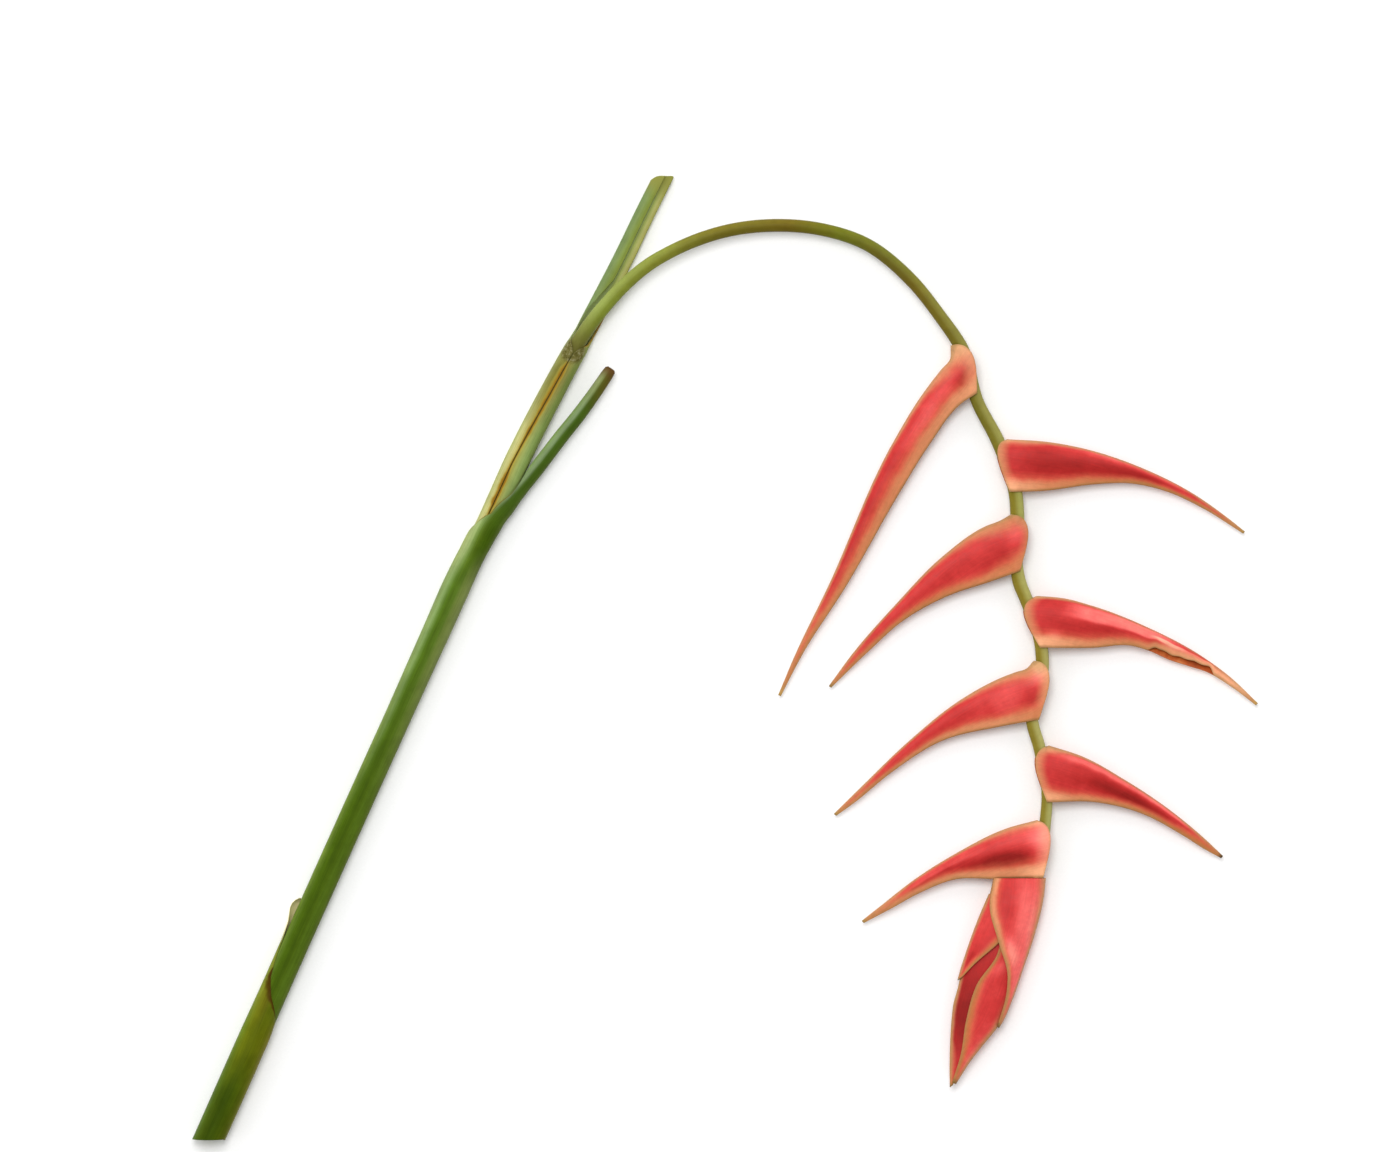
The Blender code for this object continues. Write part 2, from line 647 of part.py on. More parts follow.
def build():
    """Makes every piece and moves the middle of the outline onto the origin."""
    pieces = [lower_leaf_sheath(), middle_leaf(), upper_leaf(), flower_stalk()]
    pieces += [open_bract(name, *sizes) for name, sizes in BRACTS.items()]
    pieces += [bud_bract(name, *sizes) for name, sizes in BUD_BRACTS.items()]
    for piece in pieces:
        piece.location = Vector((*RECENTRE, 0.0)) * MM


STALK_LINE = tuple((*point, STALK_RADIUS_IN_STEM) for point in STEM_LINE[:10]) + FLOWER_STALK_LINE
STALK_SAMPLES = spline(STALK_LINE, np.linspace(0.0, 1.0, STALK_SAMPLE_COUNT))
STEM_SHARES = np.linspace(0.0, 1.0, STEM_SAMPLE_COUNT)
# Middle point, direction and outer radius of the upper leaf at places along the stem
STEM_SAMPLES = [
    (*frame[:2], between(UPPER_LEAF, share * length_of(STEM_LINE))[0])
    for share, frame in zip(STEM_SHARES, frames(STEM_LINE, STEM_SHARES))
]
build()
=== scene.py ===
import math

import bmesh
import bpy
import numpy as np
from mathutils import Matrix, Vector


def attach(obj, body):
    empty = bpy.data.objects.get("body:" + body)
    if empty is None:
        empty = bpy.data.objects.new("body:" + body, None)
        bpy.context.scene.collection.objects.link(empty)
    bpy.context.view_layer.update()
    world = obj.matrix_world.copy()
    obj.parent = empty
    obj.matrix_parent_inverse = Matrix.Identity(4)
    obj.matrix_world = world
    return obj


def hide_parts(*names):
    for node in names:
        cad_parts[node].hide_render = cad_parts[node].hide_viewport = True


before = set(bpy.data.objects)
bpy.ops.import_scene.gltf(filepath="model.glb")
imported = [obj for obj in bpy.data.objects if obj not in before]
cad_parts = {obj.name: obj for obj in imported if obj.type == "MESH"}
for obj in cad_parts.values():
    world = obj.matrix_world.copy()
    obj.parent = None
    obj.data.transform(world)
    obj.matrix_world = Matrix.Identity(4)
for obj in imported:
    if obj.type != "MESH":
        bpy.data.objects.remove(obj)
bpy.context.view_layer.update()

# The stem
# What looks like a stem is three leaves, each rolled into a sheath round the next. The outermost was cut off
# low down and left a dry stub; the other two end in cut leaf stalks. All of it is waxy green leaf tissue.

MM = 0.001
# The points of this file are millimetres across the photograph. This moves them into the part's frame.
SHIFT = Vector((0.241, -0.056, 0.0))
UP = Vector((0.0, 0.0, 1.0))
MERGE_DISTANCE = 0.001 * MM
SHARP_ANGLE = math.radians(60.0)

# Middle lines: x, y, height above the table
STEM_LINE = (
    (-258.4, -241.5, 7.25), (-240, -200, 7.25), (-222.4, -160, 7.25), (-200, -110, 7.25),
    (-182, -70, 7.3), (-163.9, -30, 7.35), (-145.9, 10, 7.4), (-127.6, 50, 7.4),
    (-117, 70, 7.3), (-103.3, 100, 6.3), (-88, 130, 6.15), (-77.2, 150, 6),
)
UPPER_STALK_LINE = (
    (-71.5, 160, 4.7), (-66.2, 170, 3.8), (-61, 180, 3.5), (-50.8, 200, 3.5), (-41.2, 220, 3.6),
    (-31.2, 240.1, 3.8),
)
MIDDLE_STALK_LINE = (
    (-106.5, 80.5, 7.3), (-98, 90, 7.2), (-90, 100, 7.4), (-82.3, 110, 7.4), (-74.2, 120, 7.2),
    (-66.8, 130, 7), (-57.4, 143.8, 6.8),
)
CUT_LEVEL = -241.5
# The flower stalk inside the sheaths and past them: x, y, height, radius
HANGING_LINE = (
    (-88, 130, 6.2, 3.9), (-77.2, 150, 6.6, 3.8), (-74.5, 155.5, 7.6, 3.8), (-68, 165.5, 9.4, 3.7),
    (-59.3, 176.3, 10.5, 3.5), (-50.3, 185.8, 10.9, 3.4), (-38.2, 195.8, 10.9, 3.3), (-26.6, 202.5, 10.6, 3.2),
    (-12.8, 208.5, 10.1, 3.2), (2.1, 212.8, 9.5, 3.2), (24.5, 215.2, 8.8, 3.25), (46.9, 213.4, 8.2, 3.2),
    (69.5, 206.2, 7.7, 3.2), (92, 188.5, 7.3, 3.25), (106.9, 170.1, 7.1, 3.2), (118, 153.5, 7, 3.4),
    (125.8, 127, 7, 3.2), (136.1, 107, 7.1, 3.4), (144.8, 81, 7.2, 3.5), (145.7, 69, 7.2, 3.5),
    (145.3, 45, 7.3, 3.2), (146.5, 37.5, 7.3, 3.4), (150.2, 28, 7.3, 3.3), (157.6, 5, 7.4, 3.3),
    (158.2, -4, 7.4, 3.3), (153.1, -33, 7.5, 3.1), (156.6, -45.5, 7.5, 3.1), (160.5, -71, 7.6, 2.8),
    (159.6, -83, 7.7, 2.9), (155.6, -111, 7.8, 2.9), (148, -134, 7.8, 2.5), (138.5, -153, 7.8, 1.5),
)
RADIUS_IN_STEM = 4.0
STALK_LINE = tuple((*point, RADIUS_IN_STEM) for point in STEM_LINE[:10]) + HANGING_LINE

# Each leaf by distance along its line: outer radius, wall, first and last margin in degrees, share of stalk
# in the section, flattening. Degrees run from the right over the front (90) to the left (180).
SHEATH_WALL = 0.8
LOWER_LEAF = (
    (0, 7.75, 0.8, -8, 345, 0, 1),
    (40, 7.8, 0.8, -8, 345, 0, 1),
    (58, 7.7, 0.8, -8, 345, 0, 1),
    (66, 7.55, 0.7, 15, 330, 0, 1),
    (71, 7.45, 0.6, 45, 300, 0, 1),
    (78, 7.35, 0.5, 90, 270, 0, 1),
    (87, 7.3, 0.45, 130, 240, 0, 1),
    (97, 7.35, 0.45, 150, 232, 0, 1),
    (105.5, 7.55, 0.5, 160, 226, 0, 1),
    (115.8, 8.7, 0.6, 166, 216, 0, 1),
    (122.5, 10.6, 0.6, 170, 212, 0, 1),
    (124.8, 10.5, 0.6, 170, 212, 0, 1),
    (126.8, 9.6, 0.6, 173, 211, 0, 1),
    (128.5, 8.1, 0.6, 177, 209, 0, 1),
)
MIDDLE_LEAF = (
    (0, 6.8, 0.8, -157, 200, 0, 1),
    (233, 6.7, 0.8, -157, 200, 0, 1),
    (266, 6.9, 0.8, -157, 200, 0, 1),
    (300, 7.2, 0.8, -157, 200, 0, 1),
    (320, 6.8, 0.8, -157, 200, 0, 1),
    (328, 6.7, 0.8, -150, 185, 0, 1),
    (335, 7, 0.8, -125, 135, 0, 1),
    (343, 7.3, 0.8, -100, 100, 0, 1),
    (350, 6.6, 1, -85, 108, 0.1, 1),
    (357, 5, 1, -80, 115, 0.4, 1),
    (364, 4.3, 1, -75, 130, 0.7, 1),
    (371, 4.1, 1, -70, 145, 0.9, 1),
    (383, 3.9, 0.9, -65, 155, 1, 1),
    (409, 3.65, 0.9, -60, 160, 1, 1),
    (433, 3.2, 0.9, -55, 165, 1, 1),
    (436.3, 2.9, 0.9, -55, 165, 1, 1),
    (437.5, 2.3, 0.9, -55, 165, 1, 1),
)
UPPER_LEAF = (
    (0, 5.2, 0.8, -252, 102, 0, 1),
    (290, 5.2, 0.8, -252, 102, 0, 1),
    (320, 5.5, 0.8, -252, 102, 0, 1),
    (335, 5.8, 0.8, -251, 103, 0, 1),
    (343, 6.1, 0.8, -248, 106, 0, 1),
    (350, 6.3, 0.8, -248, 106, 0, 1),
    (370, 6.3, 0.8, -250, 104, 0, 1),
    (409, 6.1, 0.8, -264, 90, 0, 1),
    (433, 5.8, 0.8, -268, 86, 0, 1),
    (437, 5.7, 0.9, -240, 70, 0, 1),
    (440, 5.5, 1, -205, 25, 0.1, 0.95),
    (445, 5.4, 1, -185, 2, 0.3, 0.85),
    (452, 5.3, 1, -192, 10, 0.75, 0.68),
    (462, 5.2, 1, -236, 22, 1, 0.6),
    (475, 5.1, 1, -276, 24, 1, 0.58),
    (529, 4.9, 1, -278, 24, 1, 0.62),
    (532.7, 4.8, 1, -278, 24, 1, 0.62),
)
# How far the free margins have dried brown, in mm: distance along the leaf, first margin, last margin
LOWER_DRYING = ((60, 0.2, 0.2), (68, 0.2, 0.2), (73, 1.6, 0.2), (80, 5, 0.2), (86, 3.4, 0.2),
                (92, 0.3, 0.2), (130, 0.2, 0.9))
MIDDLE_DRYING = ((300, 0.2, 0.2), (325, 0.2, 0.3), (335, 0.2, 0.6), (350, 0.2, 0.7), (380, 0.2, 0.2))
UPPER_DRYING = ((335, 0.4, 0.4), (350, 1.8, 1.2), (375, 1.1, 1.2), (395, 1.1, 1.6), (412, 2.4, 1.8),
                (425, 1.8, 1.2), (433, 0.4, 0.6), (438, 0.2, 0.8), (455, 0.2, 0.9), (465, 0.2, 0.3),
                (533, 0.2, 0.28))
# The lower leaf's tongue leans out from the stem: its first margin stands this much further out than its last
TONGUE_LEAN = ((97, 0), (105.5, 0.3), (115.8, 1.5), (122.5, 3.3), (128.5, 1.2))
# A leaf's rings lie at most LEAF_STEP mm apart, with LEAF_POINTS on the outer and on the inner side
LEAF_STEP = 3.0
LEAF_POINTS = 56
LEAF_MARKS = ("place", "side", "margin", "dry", "inside")
# How many steps measure a line, and how far each way its direction is read, as a share of its length
LENGTH_STEPS = 400
LOOK_AHEAD = 0.003
# How many points of the flower stalk and of the stem the other pieces are kept clear of
STALK_SAMPLE_COUNT = 1500
STEM_SAMPLE_COUNT = 300
# A sheath's wall loses this share at its free margins, and the loss dies away over MARGIN_WIDTH mm
MARGIN_THINNING = 0.7
MARGIN_WIDTH = 1.5
# How deep a leaf stalk's channel is, as a share of its radius, and how wide its last ring is left
CHANNEL_DEPTH = 0.32
TIP_ROUNDING = 0.85
# The upper stalk's end is cut level with the photograph's top edge: where the cut begins, and where it lies.
# Left of STALK_CORNER its corner is worn down by CORNER_WEAR times the distance squared.
STALK_CUT = (526.0, 532.7)
STALK_TOP = 240.2
STALK_CORNER = -33.6
CORNER_WEAR = 0.3
# From MIDDLE_OPENING on, the middle leaf opens and stays MOUTH_GAP clear of the upper leaf
MIDDLE_OPENING = 305.0
MOUTH_GAP = 0.4
# Where the flower stalk comes out of the upper leaf and lifts its front, and the gap between them
KNUCKLE = (405.0, 470.0)
STALK_GAP = 0.15


def smooth_curve(knots, values, places):
    """A smooth curve through values at rising knots, read at places."""
    knots = np.asarray(knots, dtype=float)
    values = np.asarray(values, dtype=float)
    slopes = np.gradient(values, knots, axis=0)
    places = np.clip(places, knots[0], knots[-1])
    low = np.clip(np.searchsorted(knots, places, side="right") - 1, 0, len(knots) - 2)
    span = knots[low + 1] - knots[low]
    share = (places - knots[low]) / span
    shape = (len(places),) + (1,) * (values.ndim - 1)
    share, span = share.reshape(shape), span.reshape(shape)
    start = values[low] * (1 + 2 * share) * (1 - share) ** 2
    end = values[low + 1] * share**2 * (3 - 2 * share)
    start_slope = slopes[low] * span * share * (1 - share) ** 2
    end_slope = slopes[low + 1] * span * share**2 * (share - 1)
    return start + end + start_slope + end_slope


def along_line(points, shares):
    """Points on a smooth line through the given ones, at shares of its length."""
    points = np.array(points, dtype=float)
    knots = np.concatenate(([0.0], np.cumsum(np.linalg.norm(np.diff(points, axis=0), axis=1))))
    return smooth_curve(knots, points, np.asarray(shares, dtype=float) * knots[-1])


def line_length(line):
    """The length of a smooth line, from many short steps."""
    points = along_line(np.array(line)[:, :3], np.linspace(0.0, 1.0, LENGTH_STEPS))
    return float(np.linalg.norm(np.diff(points, axis=0), axis=1).sum())


def line_frames(line, shares):
    """Middle points of a line, its direction, and the side and front directions across it."""
    shares = np.asarray(shares)
    ahead = along_line(line, np.minimum(shares + LOOK_AHEAD, 1.0))
    behind = along_line(line, np.maximum(shares - LOOK_AHEAD, 0.0))
    found = []
    for middle, start, end in zip(along_line(line, shares), behind, ahead):
        forward = Vector(end[:3] - start[:3]).normalized()
        side = forward.cross(UP).normalized()
        found.append((Vector(middle[:3]), forward, side, side.cross(forward)))
    return found


def smooth_share(value, start, end):
    """0 before start, 1 past end, and a soft step between."""
    share = min(1.0, max(0.0, (value - start) / (end - start)))
    return share * share * (3 - 2 * share)


def table_row(table, place):
    """The sizes in a table at one place, in straight steps."""
    table = np.array(table, dtype=float)
    return [float(np.interp(place, table[:, 0], column)) for column in table.T[1:]]


def cut_across(ring, forward):
    """Slides a ring's points along the stem until they lie in the plane of the oblique cut."""
    return [point + forward * ((CUT_LEVEL - point.y) / forward.y) for point in ring]


def leaf_section(middle, side, front, lean, radius, wall, first, last, stalk_share, flat):
    """One section of a leaf: its outer side from margin to margin, and the inner side beside it."""
    keel = math.radians((first + last) / 2)
    keel_way = side * math.cos(keel) + front * (math.sin(keel) * flat)
    outer, inner = [], []
    span = math.radians(last - first) * radius
    for step, angle in enumerate(np.radians(np.linspace(first, last, LEAF_POINTS))):
        way = side * math.cos(angle) + front * (math.sin(angle) * flat)
        share = step / (LEAF_POINTS - 1)
        reach = radius - lean * share
        thin = MARGIN_THINNING * (1 - stalk_share) * math.exp(-span * min(share, 1 - share) / MARGIN_WIDTH)
        outer.append(middle + way * (reach - wall * thin))
        inner.append(middle + way * (reach - wall))
    for index in range(LEAF_POINTS):
        across = 2 * index / (LEAF_POINTS - 1) - 1
        deep = inner[0].lerp(inner[-1], (across + 1) / 2)
        deep += keel_way * (CHANNEL_DEPTH * radius * (1 - across**2))
        if 0 < index < LEAF_POINTS - 1:
            inner[index] = inner[index].lerp(deep, stalk_share)
    return outer, inner


def push_clear(point, extra):
    """Moves a point straight out from the stem until it is this far outside the upper leaf."""
    nearest = int(np.argmin(np.linalg.norm(STEM_MIDDLES - np.array(point), axis=1)))
    forward = STEM_WAYS[nearest]
    away = point - Vector(STEM_MIDDLES[nearest])
    away -= forward * away.dot(forward)
    return point + away.normalized() * max(0.0, STEM_REACHES[nearest] + extra - away.length)


def clear_stalk(point, extra):
    """Moves a point straight out from the flower stalk until it is this far outside it."""
    distances = np.linalg.norm(STALK_SAMPLES[:, :3] - np.array(point), axis=1)
    nearest = int(np.argmin(distances))
    away = point - Vector(STALK_SAMPLES[nearest, :3])
    return point + away.normalized() * max(0.0, STALK_SAMPLES[nearest, 3] + extra - distances[nearest])


STALK_SAMPLES = along_line(STALK_LINE, np.linspace(0.0, 1.0, STALK_SAMPLE_COUNT))
STEM_SHARES = np.linspace(0.0, 1.0, STEM_SAMPLE_COUNT)
STEM_FRAMES = line_frames(STEM_LINE, STEM_SHARES)
STEM_MIDDLES = np.array([made[0] for made in STEM_FRAMES])
STEM_WAYS = [made[1] for made in STEM_FRAMES]
STEM_REACHES = [table_row(UPPER_LEAF, share * line_length(STEM_LINE))[0] for share in STEM_SHARES]


def marked_grid(columns, rows, marks, weighted=False):
    """A flat grid with an attribute for each mark, and its vertices with their row and column."""
    bm = bmesh.new()
    # The layer for the wall's weights comes before the list of vertices, because adding a layer renews them
    if weighted:
        bm.verts.layers.deform.verify()
    layers = {mark: bm.verts.layers.float.new(mark) for mark in marks}
    bmesh.ops.create_grid(bm, x_segments=columns, y_segments=rows, size=1.0)
    grid = [
        (vert, round((vert.co.y + 1) / 2 * rows), round((vert.co.x + 1) / 2 * columns)) for vert in bm.verts
    ]
    return bm, layers, grid


def finish_mesh(name, bm, materials, nodes):
    """Makes the bmesh a piece of the object: smooth, with its materials, riding on the part."""
    mesh = bpy.data.meshes.new(name)
    bm.to_mesh(mesh)
    bm.free()
    for material in materials:
        mesh.materials.append(material)
    mesh.shade_smooth()
    mesh.set_sharp_from_angle(angle=SHARP_ANGLE)
    piece = bpy.data.objects.new(name, mesh)
    bpy.context.scene.collection.objects.link(piece)
    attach(piece, "root")
    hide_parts(*nodes)
    return piece


def roll_leaf(name, table, line, drying, material, node, opening=None):
    """A leaf from the cut end to its stalk's end: a grid wrapped round each section, closed at both ends."""
    total = line_length(line)
    places = [0.0]
    for start, end in zip(table, table[1:]):
        parts = max(1, math.ceil((end[0] - start[0]) / LEAF_STEP))
        places += [start[0] + (end[0] - start[0]) * (part + 1) / parts for part in range(parts)]
    rings = []
    frames = line_frames(line, np.array(places) / total)
    for place, (middle, forward, side, front) in zip(places, frames):
        lean = table_row(TONGUE_LEAN, place)[0] if table is LOWER_LEAF else 0.0
        outer, inner = leaf_section(middle, side, front, lean, *table_row(table, place))
        if place == 0.0:
            outer, inner = cut_across(outer, forward), cut_across(inner, forward)
        if opening and place > opening:
            inner = [push_clear(point, MOUTH_GAP) for point in inner]
            outer = [push_clear(point, MOUTH_GAP + SHEATH_WALL) for point in outer]
        if table is UPPER_LEAF and KNUCKLE[0] < place < KNUCKLE[1]:
            inner = [clear_stalk(point, STALK_GAP) for point in inner]
            outer = [clear_stalk(point, STALK_GAP + SHEATH_WALL) for point in outer]
        rings.append([Vector((point.x, point.y, max(point.z, 0.0))) for point in outer + inner[::-1]])
    if table is UPPER_LEAF:
        for place, ring in zip(places, rings):
            level = smooth_share(place, STALK_CUT[0], STALK_CUT[1])
            for point in ring:
                point.xy += forward.xy * ((STALK_TOP - point.y) * level / forward.y)
                worn = CORNER_WEAR * max(0.0, STALK_CORNER - point.x) ** 2
                point.xy -= forward.xy * (worn * level / forward.y)
    if table is not LOWER_LEAF:
        middle = sum(rings[-1], Vector()) / len(rings[-1])
        rings[-1] = [middle.lerp(point, TIP_ROUNDING) for point in rings[-1]]
    around = 2 * LEAF_POINTS
    bm, layers, grid = marked_grid(around, len(places) - 1, LEAF_MARKS)
    loops = [[None] * (around + 1) for _ in places]
    for vert, row, column in grid:
        radius, _, first, last, _, _ = table_row(table, places[row])
        index = column % around
        inside = index >= LEAF_POINTS
        step = around - 1 - index if inside else index
        turn = first + (last - first) * step / (LEAF_POINTS - 1)
        vert[layers["place"]] = places[row]
        vert[layers["side"]] = (1 - math.cos(math.radians(turn))) / 2
        vert[layers["margin"]] = math.radians(min(turn - first, last - turn)) * radius
        vert[layers["dry"]] = table_row(drying, places[row])[turn - first > last - turn]
        vert[layers["inside"]] = float(inside)
        vert.co = (rings[row][index] + SHIFT) * MM
        loops[row][column] = vert
    for end in (loops[0], loops[-1]):
        for index in range(LEAF_POINTS - 1):
            far = around - 1 - index
            bm.faces.new((end[index], end[index + 1], end[far - 1], end[far]))
    bmesh.ops.remove_doubles(bm, verts=bm.verts, dist=MERGE_DISTANCE)
    bmesh.ops.recalc_face_normals(bm, faces=bm.faces)
    return finish_mesh(name, bm, [material], [node])


def linear(colour):
    """An sRGB hex colour as linear red, green, blue and alpha."""
    parts = [int(colour[index : index + 2], 16) / 255 for index in (1, 3, 5)]
    parts = [part / 12.92 if part <= 0.04045 else ((part + 0.055) / 1.055) ** 2.4 for part in parts]
    return (*parts, 1.0)


def add(tree, kind, inputs=None, out=0, stops=(), **settings):
    """Adds one node with its settings, links and values, and returns the output that is used."""
    made = tree.nodes.new("ShaderNode" + kind)
    for name, value in settings.items():
        setattr(made, name, value)
    for name, value in (inputs or {}).items():
        if isinstance(value, bpy.types.NodeSocket):
            tree.links.new(value, made.inputs[name])
        else:
            made.inputs[name].default_value = linear(value) if isinstance(value, str) else value
    if stops:
        ramp = made.color_ramp.elements
        ramp.remove(ramp[1])
        for index, (position, colour) in enumerate(stops):
            stop = ramp[0] if index == 0 else ramp.new(position)
            stop.position = position
            stop.color = linear(colour)
    return made.outputs[out]


def new_material(name, roughness, ior, gloss):
    """A material with its shader and output in place."""
    material = bpy.data.materials.new(name)
    material.use_nodes = True
    tree = material.node_tree
    shader = tree.nodes["Principled BSDF"]
    shader.inputs["Roughness"].default_value = roughness
    shader.inputs["IOR"].default_value = ior
    shader.inputs["Specular IOR Level"].default_value = gloss
    return material, tree, shader


def drawn_out_noise(tree, across, along, fineness, length, scale):
    """Noise drawn out along a piece, as its fibres or veins are."""
    across = add(tree, "Math", {0: across, 1: fineness}, operation="MULTIPLY")
    along = add(tree, "Math", {0: along, 1: length}, operation="MULTIPLY")
    where = add(tree, "CombineXYZ", {"X": across, "Y": along})
    return add(tree, "TexNoise", {"Vector": where, "Scale": scale, "Detail": 3.0, "Roughness": 0.6})


def grained(tree, colour, fibres, specks, share, spread, tones):
    """Lightens and darkens a colour with its fibres and specks, whose noise swings through the spread."""
    grain = add(tree, "MixRGB", {"Fac": share, "Color1": fibres, "Color2": specks})
    (start, end), (darkest, lightest) = spread, tones
    grain = add(
        tree, "MapRange",
        {"Value": grain, "From Min": start, "From Max": end, "To Min": darkest, "To Max": lightest},
    )
    return add(tree, "MixRGB", {"Fac": 1.0, "Color1": colour, "Color2": grain}, blend_type="MULTIPLY")


def link_finish(tree, shader, colour, bump, rough=None):
    """Links the finished colour, relief and roughness to the shader."""
    tree.links.new(colour, shader.inputs["Base Color"])
    tree.links.new(bump, shader.inputs["Normal"])
    if rough is not None:
        tree.links.new(rough, shader.inputs["Roughness"])


# Waxy leaf sheath: tough parallel-fibred leaf tissue under a thin wax bloom. It looks satin, with pale bands
# where the bloom lies and fine fibres a third of a millimetre apart that run the whole length of the leaf. The
# colours across each leaf are partly its own bloom and stripes and partly painted light and shade: painted
# sheen along the pale edges and painted shade down the darkest stripe.
def leaf_skin(name, bands, margin_colours, tip=None, scar=None):
    """bands holds (place, colours across from right to left, which include painted light and shade round the
    leaf): one blends into the next along the leaf.
    """
    material, tree, shader = new_material(name, 0.42, 1.45, 0.03)
    place, side, margin, dry, inside = (
        add(tree, "Attribute", out=2, attribute_name=mark) for mark in LEAF_MARKS
    )
    where = add(tree, "TexCoord", out=3)
    # The bands sway a few tenths of a millimetre from side to side, as the veins they follow do
    sway = add(tree, "TexNoise", {"Vector": where, "Scale": 28.0, "Detail": 2.0})
    swayed = add(tree, "Math", {0: sway, 1: 0.07, 2: side}, operation="MULTIPLY_ADD")
    swayed = add(tree, "Math", {0: swayed, 1: 0.035}, operation="SUBTRACT")
    colour = add(tree, "ValToRGB", {"Fac": swayed}, stops=bands[0][1])
    for (start, _), (end, stops) in zip(bands, bands[1:]):
        other = add(tree, "ValToRGB", {"Fac": swayed}, stops=stops)
        share = add(
            tree, "MapRange", {"Value": place, "From Min": start, "From Max": end},
            interpolation_type="SMOOTHSTEP",
        )
        colour = add(tree, "MixRGB", {"Fac": share, "Color1": colour, "Color2": other})
    # The fibres lie about a third of a millimetre from one to the next round the leaf
    fibres = drawn_out_noise(tree, side, place, 22.0, 0.035, 1.6)
    mottle = add(tree, "TexNoise", {"Vector": where, "Scale": 110.0, "Detail": 6.0, "Roughness": 0.6})
    colour = grained(tree, colour, fibres, mottle, 0.45, (0.36, 0.64), (0.74, 1.08))
    # The free margin dries brown, in a ragged band
    dried = add(tree, "TexNoise", {"Vector": where, "Scale": 110.0, "Detail": 3.0})
    reach = add(tree, "Math", {0: dried, 1: 2.0, 2: -1.0}, operation="MULTIPLY_ADD")
    margin = add(tree, "Math", {0: margin, 1: dry}, operation="DIVIDE")
    margin = add(tree, "Math", {0: margin, 1: reach}, operation="ADD")
    browning = add(tree, "ValToRGB", {"Fac": margin}, stops=margin_colours)
    share, wide = (
        add(
            tree, "MapRange", {"Value": value, "From Min": start, "From Max": end},
            interpolation_type="SMOOTHSTEP",
        )
        for value, start, end in ((margin, 1.2, 0.2), (dry, 0.2, 0.5))
    )
    share = add(tree, "Math", {0: share, 1: wide}, operation="MULTIPLY")
    colour = add(tree, "MixRGB", {"Fac": share, "Color1": colour, "Color2": browning})
    # The inside of a sheath is pale and smooth
    pale = add(tree, "MixRGB", {"Fac": 0.25, "Color1": colour, "Color2": "#b9bd7c"})
    colour = add(tree, "MixRGB", {"Fac": inside, "Color1": colour, "Color2": pale})
    if tip:
        start, end, tip_colour, dark_tip_colour = tip
        withered = add(
            tree, "MapRange", {"Value": place, "From Min": start, "From Max": end},
            interpolation_type="SMOOTHSTEP",
        )
        blotched = add(tree, "MixRGB", {"Fac": dried, "Color1": tip_colour, "Color2": dark_tip_colour})
        colour = add(tree, "MixRGB", {"Fac": withered, "Color1": colour, "Color2": blotched})
    rough = add(
        tree, "MapRange", {"Value": mottle, "From Min": 0.3, "From Max": 0.7, "To Min": 0.36, "To Max": 0.52}
    )
    height = add(tree, "Math", {0: fibres, 1: 0.6}, operation="MULTIPLY")
    height = add(tree, "Math", {0: mottle, 1: 0.25, 2: height}, operation="MULTIPLY_ADD")
    if scar:
        centre, radius = scar
        from_scar = add(tree, "VectorMath", {0: where, 1: centre}, out=1, operation="DISTANCE")
        ragged = add(tree, "Math", {0: dried, 1: 0.004, 2: from_scar}, operation="MULTIPLY_ADD")
        corky = add(
            tree, "MapRange", {"Value": ragged, "From Min": radius + 0.003, "From Max": radius},
            interpolation_type="SMOOTHSTEP",
        )
        cork = add(tree, "TexNoise", {"Vector": where, "Scale": 600.0, "Detail": 5.0, "Roughness": 0.7})
        cork_colour = add(
            tree, "ValToRGB", {"Fac": cork}, stops=((0.3, "#3d3a10"), (0.5, "#6b6634"), (0.7, "#9a9672"))
        )
        colour = add(tree, "MixRGB", {"Fac": corky, "Color1": colour, "Color2": cork_colour})
        lumps = add(tree, "Math", {0: cork, 1: corky}, operation="MULTIPLY")
        height = add(tree, "Math", {0: lumps, 1: 2.5, 2: height}, operation="MULTIPLY_ADD")
    bump = add(tree, "Bump", {"Height": height, "Strength": 0.55, "Distance": 0.00012})
    link_finish(tree, shader, colour, bump, rough)
    return material


# Across the stem the colours are partly the leaf's own green and partly painted light and shade: painted sheen
# at the paler edges and painted shade in the dark middle stripe.
lower_skin = leaf_skin(
    "old leaf sheath",
    [
        (22.0, ((0, "#7c7a34"), (0.08, "#5a620f"), (0.16, "#4e5a0b"), (0.28, "#47580a"), (0.42, "#3e5108"),
                (0.6, "#384b06"), (0.75, "#40520a"), (0.88, "#4c6113"), (1, "#5c7430"))),
        (56.0, ((0, "#7a742a"), (0.15, "#63680e"), (0.35, "#5c640a"), (0.55, "#5e670b"), (0.75, "#6a7310"),
                (0.9, "#687a1a"), (1, "#6c8430"))),
        (80.0, ((0, "#606c19"), (0.4, "#5a660e"), (0.6, "#625f0e"), (0.75, "#747517"), (0.88, "#7c8222"),
                (1, "#7c8a2e"))),
    ],
    # The dry tongue's tip colours are paler than its own cream, as painted light on its inner face in the
    # shade beside the stem.
    ((0, "#452f04"), (0.6, "#4e3f08"), (1, "#5c540e")), tip=(103.0, 116.0, "#fff3bc", "#e6d698"),
)
roll_leaf(
    "lower_sheath", LOWER_LEAF, STEM_LINE, LOWER_DRYING, lower_skin, "lower_leaf_sheath",
)
